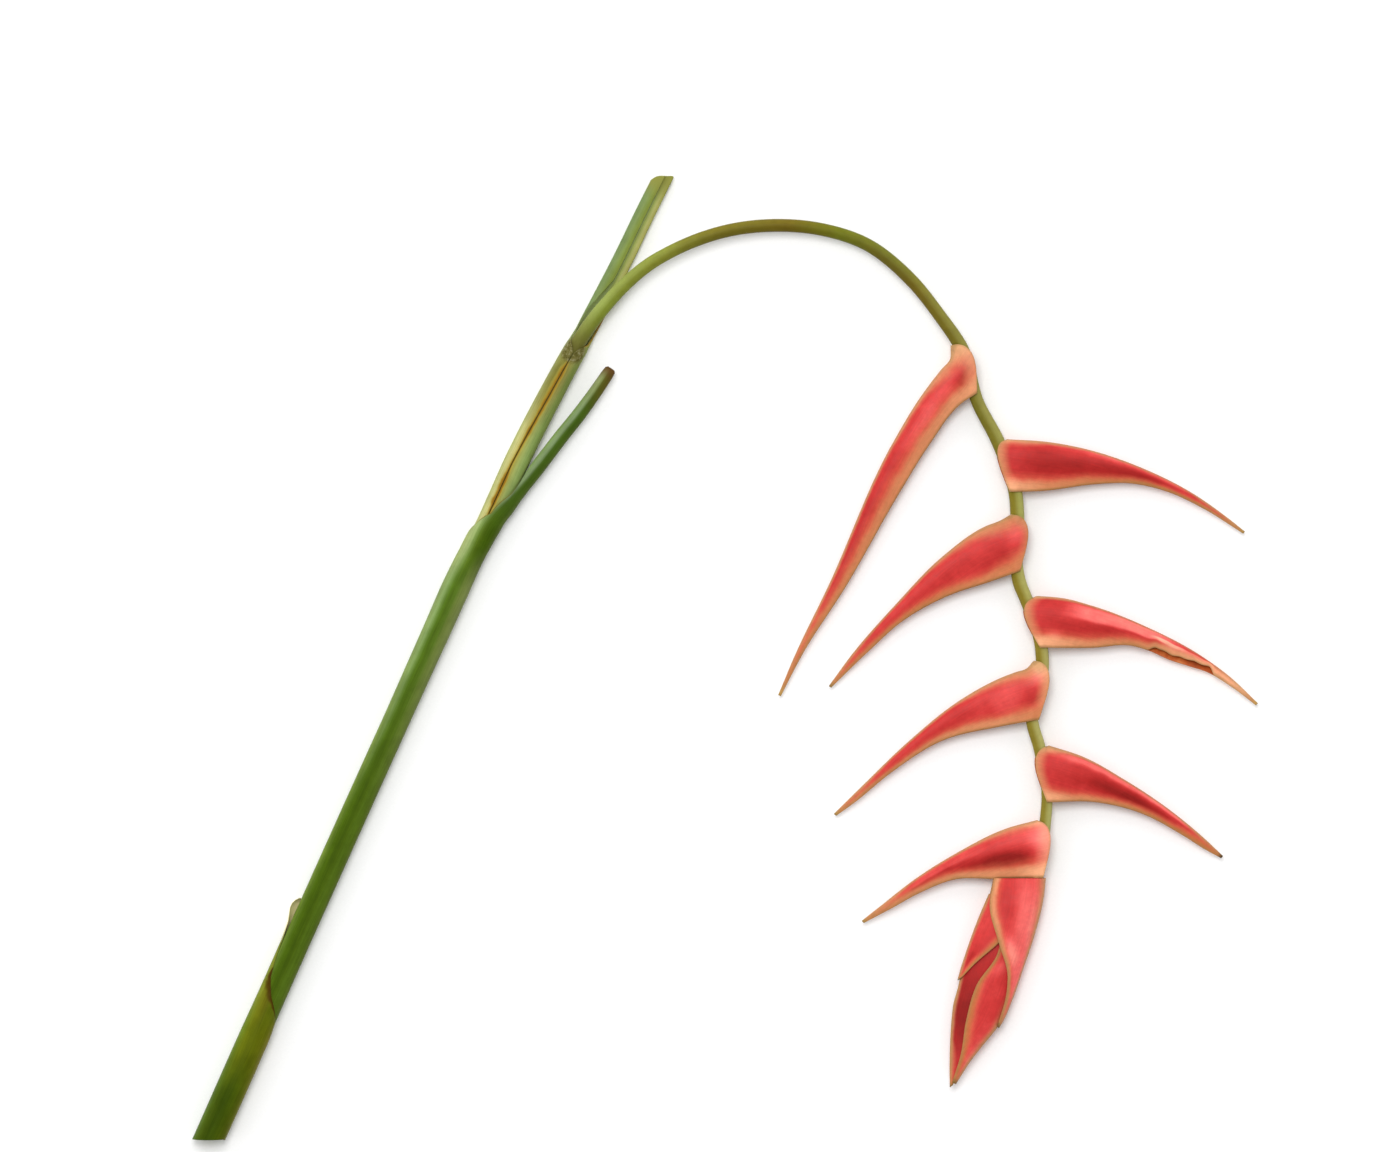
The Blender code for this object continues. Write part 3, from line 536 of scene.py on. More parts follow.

# In the middle leaf's colours the pale side is partly painted sheen and the dark stripes partly painted shade;
# its stalk's left face is painted light and its right face painted shade.
MIDDLE_STALK_LIT_AND_SHADED_COLOURS = (
    (0, "#54662a"), (0.16, "#47601a"), (0.33, "#415b18"), (0.44, "#46601e"), (0.52, "#5e7444"),
    (0.6, "#778c5e"), (0.74, "#7e9464"), (0.88, "#7f9858"), (1, "#7f965c"),
)
middle_skin = leaf_skin(
    "middle leaf",
    [
        (170.0, ((0, "#58691f"), (0.16, "#506818"), (0.3, "#506919"), (0.42, "#485f10"), (0.52, "#3f5608"),
                 (0.62, "#445c0c"), (0.74, "#4a6410"), (0.85, "#587022"), (0.95, "#6c842e"), (1, "#7c9050"))),
        (300.0, ((0, "#76824a"), (0.15, "#788646"), (0.28, "#6b7c38"), (0.4, "#557022"), (0.52, "#4c6616"),
                 (0.62, "#52701c"), (0.72, "#6c8840"), (0.8, "#86a060"), (0.9, "#869c5c"), (1, "#869a5c"))),
        (328.0, ((0, "#52651c"), (0.16, "#3e560a"), (0.3, "#445e0e"), (0.42, "#4a6210"), (0.52, "#5a741c"),
                 (0.62, "#769044"), (0.74, "#9aad6c"), (0.88, "#a2b072"), (1, "#9aa85e"))),
        (360.0, MIDDLE_STALK_LIT_AND_SHADED_COLOURS),
        (408.0, MIDDLE_STALK_LIT_AND_SHADED_COLOURS),
        (431.0, ((0, "#62581e"), (0.3, "#59561c"), (0.46, "#5a5c22"), (0.56, "#768045"), (0.7, "#8d9760"),
                 (1, "#8e9668"))),
    ],
    ((0, "#6b5d1c"), (1, "#857c3c")), tip=(429.0, 437.5, "#6e4a2a", "#4a3814"),
)
roll_leaf(
    "middle_leaf_and_stalk", MIDDLE_LEAF, STEM_LINE[:9] + MIDDLE_STALK_LINE, MIDDLE_DRYING, middle_skin,
    "middle_leaf", opening=MIDDLE_OPENING,
)

# Across the upper leaf the colours are partly its own pale and green halves and partly painted light and shade
# round it.
upper_skin = leaf_skin(
    "upper leaf",
    [
        (380.0, ((0, "#8a9c50"), (0.16, "#88a056"), (0.28, "#90a45e"), (0.4, "#9aa65c"), (0.52, "#9c984a"),
                 (0.64, "#a89c48"), (0.74, "#bab26a"), (0.86, "#bebc7c"), (1, "#a8ae6a"))),
        (418.0, ((0, "#7e8e44"), (0.16, "#7c8a46"), (0.3, "#8a8848"), (0.45, "#827434"), (0.6, "#7e762f"),
                 (0.8, "#827e3a"), (0.92, "#8e8e50"), (1, "#969a5c"))),
        (462.0, ((0, "#a8a860"), (0.1, "#9aa253"), (0.26, "#93a250"), (0.4, "#808b3c"), (0.5, "#7a8738"),
                 (0.62, "#7e9046"), (0.75, "#7e9055"), (0.88, "#788c56"), (1, "#768c56"))),
    ],
    ((0, "#8a641a"), (0.35, "#987a26"), (0.75, "#a39239"), (1, "#aca24a")),
    tip=(518.0, 531.0, "#8f9046", "#84843a"), scar=((-0.0758, 0.1523, 0.012), 0.0072),
)
roll_leaf(
    "upper_leaf_and_stalk", UPPER_LEAF, STEM_LINE + UPPER_STALK_LINE, UPPER_DRYING, upper_skin,
    "upper_leaf",
)

# The flower stalk
# One stiff, slightly zigzag stalk that comes up inside the sheaths, arches over and hangs down with the
# bracts. It is smooth and waxy, olive where the light reached it and browner over the arch.

STALK_RINGS = 480
STALK_SIDES = 36

# Waxy flower stalk: the same fibred tissue with a harder skin, so it has a clearer gloss than the sheaths. Its
# colour changes along its length, and its fibres lie 0.3 mm apart. A lit and a shaded copy of its colours
# paint light on one side and shade on the other.
stalk_skin, tree, shader = new_material("waxy flower stalk", 0.36, 1.46, 0.05)
place, side = (add(tree, "Attribute", out=2, attribute_name=mark) for mark in ("place", "side"))
where = add(tree, "TexCoord", out=3)
wander = add(tree, "TexNoise", {"Vector": where, "Scale": 45.0, "Detail": 3.0})
wandered = add(tree, "Math", {0: wander, 1: 40.0, 2: place}, operation="MULTIPLY_ADD")
share = add(tree, "MapRange", {"Value": wandered, "From Min": 475.0, "From Max": 945.0})
lit = add(
    tree, "ValToRGB", {"Fac": share},
    stops=((0.02, "#929f50"), (0.09, "#8c9440"), (0.136, "#7f7a2c"), (0.234, "#77681f"), (0.29, "#72761f"),
           (0.334, "#74752a"), (0.39, "#807a30"), (0.54, "#928d48"), (0.65, "#a8a85c"), (0.82, "#b0a862"),
           (1, "#aeac66")),
)
shaded = add(
    tree, "ValToRGB", {"Fac": share},
    stops=((0.02, "#7a862f"), (0.09, "#7c802c"), (0.136, "#6a651f"), (0.234, "#655614"), (0.29, "#666a1a"),
           (0.334, "#625a1c"), (0.39, "#6a5b19"), (0.54, "#716b24"), (0.65, "#807526"), (0.82, "#877728"),
           (1, "#857a2c")),
)
# The side is 1 on the outside of the arch and of the hanging stalk, which takes the lit colours as painted
# light; the inside takes the shaded colours as painted shade.
turned = add(
    tree, "MapRange", {"Value": side, "From Min": 0.25, "From Max": 0.85}, interpolation_type="SMOOTHSTEP"
)
colour = add(tree, "MixRGB", {"Fac": turned, "Color1": shaded, "Color2": lit})
# Where it comes out of the sheath it is made a darker olive
sheathed = add(tree, "MapRange", {"Value": place, "From Min": 458.0, "From Max": 438.0})
colour = add(tree, "MixRGB", {"Fac": sheathed, "Color1": colour, "Color2": "#66642c"})
fibres = drawn_out_noise(tree, side, place, 13.0, 0.04, 2.4)
specks = add(tree, "TexNoise", {"Vector": where, "Scale": 260.0, "Detail": 4.0, "Roughness": 0.65})
colour = grained(tree, colour, fibres, specks, 0.5, (0.3, 0.7), (0.82, 1.1))
rough = add(
    tree, "MapRange", {"Value": specks, "From Min": 0.3, "From Max": 0.7, "To Min": 0.32, "To Max": 0.46}
)
bump = add(tree, "Bump", {"Height": fibres, "Strength": 0.5, "Distance": 0.0001})
link_finish(tree, shader, colour, bump, rough)

stalk_total = line_length(STALK_LINE)
stalk_shares = np.linspace(0.0, 1.0, STALK_RINGS + 1)
stalk_radii = along_line(STALK_LINE, stalk_shares)[:, 3]
stalk_frames = line_frames(STALK_LINE, stalk_shares)
bm, layers, grid = marked_grid(STALK_SIDES, STALK_RINGS, ("place", "side"))
ends = [[], []]
for vert, row, column in grid:
    middle, forward, side, front = stalk_frames[row]
    turn = 2 * math.pi * (column % STALK_SIDES) / STALK_SIDES
    point = middle + (side * math.cos(turn) + front * math.sin(turn)) * stalk_radii[row]
    if row == 0:
        point = cut_across([point], forward)[0]
    vert.co = (point + SHIFT) * MM
    vert[layers["place"]] = stalk_shares[row] * stalk_total
    vert[layers["side"]] = (1 - math.cos(turn)) / 2
    if column < STALK_SIDES and row in (0, STALK_RINGS):
        ends[row > 0].append(vert)
for end in ends:
    bm.faces.new(end)
bmesh.ops.remove_doubles(bm, verts=bm.verts, dist=MERGE_DISTANCE)
bmesh.ops.recalc_face_normals(bm, faces=bm.faces)
finish_mesh("stalk_of_the_flower_head", bm, [stalk_skin], ["flower_stalk"])

# The open bracts
# Seven boat-shaped leaves, each folded along its keel, that clasp the stalk at their base. They are thick,
# stiff and satin: deep red in the middle, with a peach to tan band along the lips and a paler base.

# Keel points, lip points, how far the base reaches round the stalk, and the tip's height
OPEN_BRACTS = {
    "bract_1": (
        ((112.8, 155.2), (112.4, 148.2), (108, 143), (97.9, 129.7), (83.4, 105.8), (50.9, 33.8),
         (35.4, 1.8), (26.3, -19.6)),
        ((125.4, 131.3), (117.7, 126.3), (101.7, 105.8), (86.8, 81.8), (59.3, 33.8), (38.8, 1.8),
         (27.4, -20.2)),
        (6.2, 3.2), 4,
    ),
    "bract_2": (
        ((141.4, 107.8), (158.4, 106.9), (180.8, 102.9), (208.8, 93.4), (232.7, 81.5), (250.1, 69.5),
         (259.5, 62.1)),
        ((141.8, 82), (158.8, 82.6), (185.5, 86), (202, 86.4), (220, 82.5), (238.5, 74),
         (258.8, 61.2)),
        (-6, 2), 4.5,
    ),
    "bract_3": (
        ((142.6, 70.4), (137.8, 67.6), (129.5, 64.3), (108.5, 49.5), (85, 25.5), (64, 1.6),
         (51.6, -15.2)),
        ((146.9, 42.5), (133.6, 37.7), (110.1, 29.7), (88.7, 17.8), (70.7, 1.8), (52.6, -15.9)),
        (6.8, 2), 4,
    ),
    "bract_4": (
        ((156.8, 29.5), (168.4, 28.5), (183.8, 24.5), (210.8, 14), (237.2, 0.1), (251.7, -10.4),
         (266, -23.8)),
        ((156.8, 4.2), (184, 4.2), (202, 5.3), (212, 2.5), (222, -2), (232, -5.2),
         (240.5, -8), (253, -15.5), (265.2, -24.7)),
        (-8, 1), 4.5,
    ),
    "bract_5": (
        ((154.2, -2.6), (150.5, -6.6), (144.5, -8.6), (137.8, -11.2), (116.9, -22.6), (92, -42.5),
         (67, -66.5), (54.1, -79.2)),
        ((156.3, -31.7), (137.1, -35.2), (108.1, -42.3), (82.7, -58.2), (63.2, -74.2), (55.1, -80)),
        (6.6, 1.6), 4,
    ),
    "bract_6": (
        ((161.4, -45.2), (177.8, -50.5), (199.7, -62.5), (218.1, -74.5), (238.1, -90.5), (248.6, -100.3)),
        ((160.4, -73), (184.5, -73), (206.5, -78.2), (229, -90), (240, -97), (247.7, -101.2)),
        (-6.6, 1.2), 4.5,
    ),
    "bract_7": (
        ((155.4, -82.5), (140.3, -86.6), (115.8, -98.6), (96.4, -110.6), (75.9, -126.5), (68, -132.7)),
        ((158.4, -110.7), (134, -111.3), (114.6, -111.6), (97.1, -118.3), (82.6, -126.3), (69, -133.6)),
        (5.6, 1.4), 4.5,
    ),
}
# At these shares of a bract's length: how far the lip band and the keel band reach, as shares of the way
# across, and how pale the lip band is
BAND_PLACES = (0.0, 0.15, 0.4, 0.7, 0.95)
OPEN_BANDS = {
    "bract_1": ((0.36, 0.38, 0.44, 0.5, 0.95), (0.3, 0.1, 0.06, 0.12, 0.4), (0.5, 0.35, 0.25, 0.2, 0.1)),
    "bract_2": ((0.27, 0.22, 0.25, 0.36, 0.7), (0.12, 0.05, 0.04, 0.06, 0.5), (0.9, 0.3, 0.1, 0, 0.2)),
    "bract_3": ((0.34, 0.17, 0.25, 0.36, 0.7), (0.25, 0.14, 0.07, 0.1, 0.4), (0.1, 0.2, 0.1, 0.1, 0.1)),
    "bract_4": ((0.27, 0.23, 0.3, 0.62, 1.6), (0.05, 0.03, 0.03, 0.03, 0.1), (1, 0.45, 0.2, 0.8, 1)),
    "bract_5": ((0.27, 0.22, 0.28, 0.36, 0.8), (0.25, 0.12, 0.06, 0.1, 0.4), (0.1, 0.4, 0.35, 0.2, 0.2)),
    "bract_6": ((0.24, 0.17, 0.22, 0.32, 0.9), (0.12, 0.04, 0.03, 0.03, 0.4), (0.85, 0.35, 0.15, 0, 0)),
    "bract_7": ((0.27, 0.26, 0.27, 0.5, 1.1), (0.1, 0.1, 0.05, 0.08, 0.6), (1, 0.4, 0.4, 0.3, 0.2)),
}
# How far the collar reaches from the base margin in mm, how tan it is, and how dark the tip is
OPEN_COLLARS = {
    "bract_1": (6.5, 0.4, 0.1), "bract_2": (3.2, 0.6, 0.2), "bract_3": (2.8, 0.9, 0.5),
    "bract_4": (3.4, 0.6, 0.0), "bract_5": (4.0, 0.5, 0.3), "bract_6": (3.0, 0.6, 1.0),
    "bract_7": (4.0, 0.2, 0.3),
}
# Where a bract is paler (above 0) or deeper red (below 0), partly its own mottling and partly painted
# highlight and painted shade: share along, share from keel to lip, how far each way it reaches, how strong
OPEN_TONE_AND_SHADE_PATCHES = {
    "bract_1": ((0.17, 0.45, 0.12, 0.25, 0.75), (0.035, 0.6, 0.025, 0.25, -0.9),
                (0.45, 0.3, 0.3, 0.3, -0.35)),
    "bract_2": ((0.1, 0.4, 0.06, 0.4, -0.3), (0.22, 0.45, 0.16, 0.28, -0.75), (0.48, 0.55, 0.16, 0.3, -0.8),
                (0.3, 0, 0.3, 0.12, 0.4), (0.02, 0.85, 0.04, 0.1, 0.9)),
    "bract_3": ((0.03, 0.35, 0.03, 0.15, 0.5), (0.09, 0.65, 0.06, 0.2, -0.45), (0.3, 0.5, 0.2, 0.3, -0.1)),
    "bract_4": ((0.07, 0.8, 0.03, 0.16, 1.1), (0.04, 0.35, 0.04, 0.3, -0.15), (0.2, 0.55, 0.16, 0.2, -0.4)),
    "bract_5": ((0.13, 0.45, 0.06, 0.3, 0.45), (0.04, 0.62, 0.035, 0.22, -0.5), (0.02, 0.05, 0.03, 0.3, 1.5),
                (0.4, 0.4, 0.12, 0.3, -0.15)),
    "bract_6": ((0.3, 0.5, 0.2, 0.2, -0.8), (0.5, 0.55, 0.16, 0.22, -1.05), (0.06, 0.5, 0.06, 0.3, -0.1)),
    "bract_7": ((0.02, 0.4, 0.05, 0.5, 1), (0.2, 0.6, 0.14, 0.15, -2), (0.14, 0.2, 0.12, 0.2, 0.3),
                (0.45, 0.5, 0.2, 0.3, -0.25)),
}
# A fold along the bract, sharp below and soft above: share along where it starts and ends, share from keel to
# lip there, how much paler the flank above it is painted as painted highlight, and how high it stands in mm
OPEN_FOLDS = {
    "bract_2": (0.3, 0.72, 0.16, 0.3, 0.45, 0.25),
    "bract_4": (0.12, 0.6, 0.34, 0.5, 1.0, 0.3),
    "bract_6": (0.05, 0.8, 0.16, 0.26, 0.85, 0.6),
    "bract_7": (0.3, 0.75, 0.3, 0.45, 0.3, 0.3),
}
# Shares of the bract's length over which a fold comes and goes, before and after its start and its end
FOLD_START = (0.06, 0.1)
FOLD_END = (0.1, 0.05)
# How soft a fold's line is and how far it wavers, as shares from keel to lip, and in how many radians
FOLD_EDGE = 0.05
FOLD_WAVE = 0.008
FOLD_WAVES = 60
# The fourth bract has a tear: between these shares of its length the near lip has shrunk back, at most this
# far in mm. Past the crease that starts at CREASE its flank has dried pale, but for a strip beside the keel.
TORN_BRACT = "bract_4"
TEAR = (0.46, 0.78)
TEAR_DEPTH = 3.0
TEAR_STARTING = 0.05
TEAR_ENDING = 0.03
TEAR_MOST = 0.8
# Two waves in the torn edge: mm deep, and radians in the bract's length
TEAR_RAGGEDNESS = ((0.25, 95), (0.15, 41))
CREASE = 0.42
CREASE_SLANT = 0.1
CREASE_SOFTNESS = 0.09
CREASE_TOP = 0.28
CREASE_PALER = 1.2
# Rows crowd towards the base and columns towards the keel, where the shape bends most
OPEN_ROWS = 140
OPEN_COLUMNS = 32
ROW_SPREAD = 1.3
COLUMN_SPREAD = 1.8
# The wall at an open bract's base, and at the tip of every bract
OPEN_WALL = 1.0
TIP_WALL = 0.45
# A flank bulges TIP_HALF_WIDTH from the middle at the tip and HALF_WIDTH more at the base. NARROWING says
# how late it gets flatter towards the tip, and FOLD_ROUNDNESS how near the keel it bulges most.
HALF_WIDTH = 4.3
TIP_HALF_WIDTH = 0.35
NARROWING = 1.2
FOLD_ROUNDNESS = 0.6
# A lip stands LIP_OPENING mm and LIP_SHARE of that bulge from the middle, and BASE_LIP_SHARE more of it at
# the base, which dies away over BASE_LIP_LENGTH mm
LIP_SHARE = 0.2
BASE_LIP_SHARE = 0.6
BASE_LIP_LENGTH = 12.0
LIP_OPENING = 0.45
# The base stays CLASP_GAP clear of the stalk, and its reach round the stalk dies away over HEEL_LENGTH mm
CLASP_GAP = 0.45
HEEL_LENGTH = 6.0
# How late a bract goes down to its tip's height
TIP_SINKING = 1.5


# Waxy bract: thick, fleshy leaf tissue full of red pigment under a fine wax bloom. It looks velvety to satin,
# with soft blotches of deeper and paler red that are partly its own mottling and partly painted highlight and
# painted shade, faint parallel veins 0.5 mm apart, and dry olive-brown rims.
bract_skin, tree, shader = new_material("waxy bract", 0.45, 1.45, 0.18)
marks = {
    mark: add(tree, "Attribute", out=2, attribute_name=mark)
    for mark in ("band", "spine", "pale", "collar", "tan", "lip", "keel", "base", "tip", "dark", "tone_and_shading")
}
where = add(tree, "TexCoord", out=3)
# The red runs from deep to pale with blotch noise and the tone and shading mark: its pale end is partly
# painted highlight and its deep end partly painted shade.
blotch = add(tree, "TexNoise", {"Vector": where, "Scale": 75.0, "Detail": 4.0, "Roughness": 0.55})
toned_and_shaded = add(tree, "Math", {0: blotch, 1: 0.9, 2: marks["tone_and_shading"]}, operation="MULTIPLY_ADD")
toned_and_shaded = add(tree, "MapRange", {"Value": toned_and_shaded, "From Min": -0.85, "From Max": 2.05})
colour = add(
    tree, "ValToRGB", {"Fac": toned_and_shaded},
    stops=((0, "#8f1612"), (0.25, "#ae211f"), (0.46, "#cd3634"), (0.6, "#e04c49"), (0.75, "#f46a65"),
           (0.87, "#fc8a7c"), (1, "#feb79b")),
)
# The bands waver by half a millimetre or so
waver = add(tree, "TexNoise", {"Vector": where, "Scale": 130.0, "Detail": 3.0})
band, spine, collar, lip, keel = (
    add(tree, "Math", {0: waver, 1: sway, 2: marks[mark]}, operation="MULTIPLY_ADD")
    for mark, sway in (("band", 0.5), ("spine", 0.8), ("collar", 0.5), ("lip", 1.2), ("keel", 1.0))
)
band_colour = add(tree, "MixRGB", {"Fac": marks["pale"], "Color1": "#bd6c3c", "Color2": "#f9b486"})
spine_colour = add(tree, "MixRGB", {"Fac": marks["pale"], "Color1": "#bd8a58", "Color2": "#f4b083"})
collar_colour = add(
    tree, "ValToRGB", {"Fac": marks["tan"]}, stops=((0, "#ffae98"), (0.5, "#e2b87c"), (1, "#b3744c"))
)
tip_colour = add(tree, "MixRGB", {"Fac": marks["dark"], "Color1": "#b9924f", "Color2": "#4a3a1e"})
# Layers of colour over the red: what each follows, where it starts and where it is full, how strong it gets
for edge, start, end, strength, shade in (
    (spine, 2.3, 0.9, 0.5, "#d07a5a"),
    (spine, 1.6, 0.4, 0.7, spine_colour),
    (collar, 2.4, 0.3, 0.5, collar_colour),
    (band, 2.0, 1.0, 0.5, "#dc6a4c"),
    (band, 1.45, 0.7, 0.9, band_colour),
    (lip, 2.6, 0.7, 0.65, "#a07c48"),
    (keel, 2.1, 0.5, 0.6, "#a68450"),
    (marks["base"], 1.4, 0.2, 0.35, "#a88a50"),
    (marks["tip"], 0.9, 0.98, 0.5, "#b87c48"),
    (marks["tip"], 0.965, 0.998, 0.95, tip_colour),
):
    share = add(
        tree, "MapRange", {"Value": edge, "From Min": start, "From Max": end, "To Max": strength},
        interpolation_type="SMOOTHSTEP",
    )
    colour = add(tree, "MixRGB", {"Fac": share, "Color1": colour, "Color2": shade})
veins = drawn_out_noise(tree, marks["keel"], marks["base"], 1.0, 0.05, 1.3)
bloom = add(tree, "TexNoise", {"Vector": where, "Scale": 420.0, "Detail": 4.0, "Roughness": 0.65})
colour = grained(tree, colour, veins, bloom, 0.5, (0.3, 0.7), (0.84, 1.12))
rough = add(
    tree, "MapRange", {"Value": bloom, "From Min": 0.3, "From Max": 0.7, "To Min": 0.4, "To Max": 0.55}
)
height = add(tree, "Math", {0: bloom, 1: 0.3, 2: veins}, operation="MULTIPLY_ADD")
bump = add(tree, "Bump", {"Height": height, "Strength": 0.6, "Distance": 0.00014})
link_finish(tree, shader, colour, bump, rough)

# The inside of a bract: smooth and moist, with hardly any wax, so it is a glossier orange-brown.
bract_inside, tree, shader = new_material("inside of a bract", 0.35, 1.45, 0.3)
where = add(tree, "TexCoord", out=3)
clouds = add(tree, "TexNoise", {"Vector": where, "Scale": 160.0, "Detail": 4.0, "Roughness": 0.6})
colour = add(tree, "ValToRGB", {"Fac": clouds}, stops=((0.3, "#8f3a12"), (0.5, "#b9541f"), (0.7, "#d07a3e")))
bump = add(tree, "Bump", {"Height": clouds, "Strength": 0.3, "Distance": 0.0002})
link_finish(tree, shader, colour, bump)


def nearest_stalk(flat):
    """Distance seen from above to the flower stalk's middle line, and its height and radius there."""
    distances = np.linalg.norm(STALK_SAMPLES[:, :2] - flat, axis=1)
    nearest = int(np.argmin(distances))
    return float(distances[nearest]), float(STALK_SAMPLES[nearest, 2]), float(STALK_SAMPLES[nearest, 3])


def tone_and_shade_at(patches, along, share):
    """How much paler or deeper than the plain red a bract is painted at one place, from its own mottling and
    from painted highlight and shade.
    """
    return sum(
        strength * math.exp(-(((along - middle) / length) ** 2) - ((share - across) / width) ** 2)
        for middle, across, length, width, strength in patches
    )


def band_marks(bands, along, share):
    """What the skin reads of a bract's lip band and keel band at one place."""
    lip_share, keel_share, pale = (float(np.interp(along, BAND_PLACES, row)) for row in bands)
    return {"band": (1 - share) / lip_share, "spine": share / keel_share, "pale": pale}


def fold_sheet(name, rows, columns, place, wall, node):
    """A sheet folded along its keel, thick at the base and thin at the tip, with the marks its skin reads."""
    bm, layers, grid = marked_grid(2 * columns, rows, marks, weighted=True)
    thickness = bm.verts.layers.deform.verify()
    for vert, row, column in grid:
        point, values = place(row / rows, (column - columns) / columns)
        vert[thickness][0] = 1 - row / rows
        vert.co = (point + SHIFT) * MM
        for mark, value in values.items():
            vert[layers[mark]] = value
    # The upper flank faces up, so its outer side is the side with the skin
    bmesh.ops.recalc_face_normals(bm, faces=bm.faces)
    bm.normal_update()
    top = max(bm.faces, key=lambda face: face.calc_center_median().z)
    if top.normal.z < 0:
        bmesh.ops.reverse_faces(bm, faces=bm.faces)
    piece = finish_mesh(name, bm, [bract_skin, bract_inside], [node])
    piece.vertex_groups.new(name="wall")
    solid = piece.modifiers.new("wall", "SOLIDIFY")
    solid.thickness = wall * MM
    solid.offset = 0.0
    solid.vertex_group = "wall"
    solid.thickness_vertex_group = TIP_WALL / wall
    solid.material_offset = 1
    solid.use_quality_normals = True
    return piece


def open_bract(node, keel, lips, heel, tip_height):
    """An open bract, folded like a boat, whose base clasps the flower stalk."""
    heel = np.array(heel)
    reach = float(np.linalg.norm(np.array(keel[0]) - np.array(keel[-1])))
    base_height = nearest_stalk(np.array(keel[0]))[1]
    collar, tan, dark = OPEN_COLLARS[node]
    shares = (np.arange(OPEN_ROWS + 1) / OPEN_ROWS) ** ROW_SPREAD
    tops = along_line(keel, shares)
    edges = along_line(lips, shares)

    def place(row_share, across):
        along = row_share**ROW_SPREAD
        row = round(row_share * OPEN_ROWS)
        share = abs(across) ** COLUMN_SPREAD
        top, edge = tops[row], edges[row]
        width = float(np.linalg.norm(edge - top))
        # Paler and deeper red patches: partly the bract's own mottling, partly painted highlight and painted
        # shade.
        tone_and_shading = tone_and_shade_at(OPEN_TONE_AND_SHADE_PATCHES[node], along, share)
        if node == TORN_BRACT and across > 0:
            torn = smooth_share(along, TEAR[0], TEAR[0] + TEAR_STARTING)
            torn *= 1 - smooth_share(along, TEAR[1] - TEAR_ENDING, TEAR[1])
            ragged = sum(deep * math.sin(often * along) for deep, often in TEAR_RAGGEDNESS)
            edge = edge + (top - edge) / width * min(torn * (TEAR_DEPTH + ragged), TEAR_MOST * width)
            crease = CREASE + CREASE_SLANT * share
            dried = smooth_share(along, crease, crease + CREASE_SOFTNESS)
            tone_and_shading += CREASE_PALER * dried * smooth_share(share, CREASE_TOP - FOLD_EDGE, CREASE_TOP + FOLD_EDGE)
        swell = math.sin(math.pi * share**FOLD_ROUNDNESS)
        heel_left = math.exp(-along * reach / HEEL_LENGTH)
        flat = top + (edge - top) * share + heel * swell * heel_left
        half = HALF_WIDTH * (1 - along**NARROWING) + TIP_HALF_WIDTH
        lip_share = LIP_SHARE + BASE_LIP_SHARE * math.exp(-along * reach / BASE_LIP_LENGTH)
        depth = half * swell + (half * lip_share + LIP_OPENING) * share**2
        if node in OPEN_FOLDS:
            start, end, start_share, end_share, fold_highlight, ridge = OPEN_FOLDS[node]
            line = start_share + (end_share - start_share) * (along - start) / (end - start)
            line += FOLD_WAVE * math.sin(FOLD_WAVES * along)
            there = smooth_share(along, start - FOLD_START[0], start + FOLD_START[1])
            there *= 1 - smooth_share(along, end - FOLD_END[0], end + FOLD_END[1])
            above = 1 - smooth_share(share, line - FOLD_EDGE, line + FOLD_EDGE)
            # The flank above the fold is made paler as painted highlight where it faces the light.
            tone_and_shading += there * fold_highlight * above * smooth_share(share, 0.0, 2 * FOLD_EDGE)
            depth += there * ridge * math.exp(-(((share - line) / (2 * FOLD_EDGE)) ** 2)) * (across > 0)
        distance, _, radius = nearest_stalk(flat)
        clasp = radius + CLASP_GAP + OPEN_WALL / 2
        if across and distance < clasp:
            depth = max(depth, math.sqrt(clasp**2 - distance**2))
        height = base_height + (tip_height - base_height) * along**TIP_SINKING
        base = along * reach + float(np.linalg.norm(heel)) * swell * (1 - heel_left)
        return Vector((*flat, height + math.copysign(depth, across))), {
            **band_marks(OPEN_BANDS[node], along, share),
            "lip": (1 - share) * width,
            "keel": share * width,
            "base": base,
            "collar": base / collar,
            "tan": tan,
            "tip": along,
            "dark": dark,
            "tone_and_shading": tone_and_shading,
        }

    return fold_sheet("open_" + node, OPEN_ROWS, OPEN_COLUMNS, place, OPEN_WALL, node)


for node, sizes in OPEN_BRACTS.items():
    open_bract(node, *sizes)

# The bud
# Four bracts that haven't opened yet, folded flat round each other at the stalk's end. Each lies inside the
# one above it, and only its free edge and a strip of its flank show.

# The bud's outline, and the height of its middle line
BUD_LEFT = (
    (134.5, -112), (126.5, -130), (120.5, -146), (115.5, -162), (113, -178), (111.7, -202),
    (111.9, -216.5),
)
BUD_RIGHT = (
    (160, -110), (159, -120), (154.5, -139), (148.5, -157), (143.5, -171.5), (136.3, -186.5),
    (125, -199), (113.3, -216.5),
)
BUD_HEIGHT = 7.8
BUD_HALF_DEPTH = (
    (110, 4.1), (112, 4.5), (117, 6), (124, 6.9), (134, 7.3), (152, 7.35), (172, 6.9),
    (187, 6.1), (202, 4.8), (216.5, 2.2),
)
BUD_ROWS = 90
BUD_COLUMNS = 30
BUD_CLASP_GAP = 0.75
BUD_WALL = 0.8
# Distance from one bract's middle surface to the next, and how much closer they lie at the bud's tip
BUD_LAYER = 1.15
BUD_TIP_LEVELS = (-187.0, -216.0)
BUD_TIP_CLOSENESS = 0.5
# A covered keel comes out between this far above its level and this far below it, in mm
UNCOVERING = 6.0
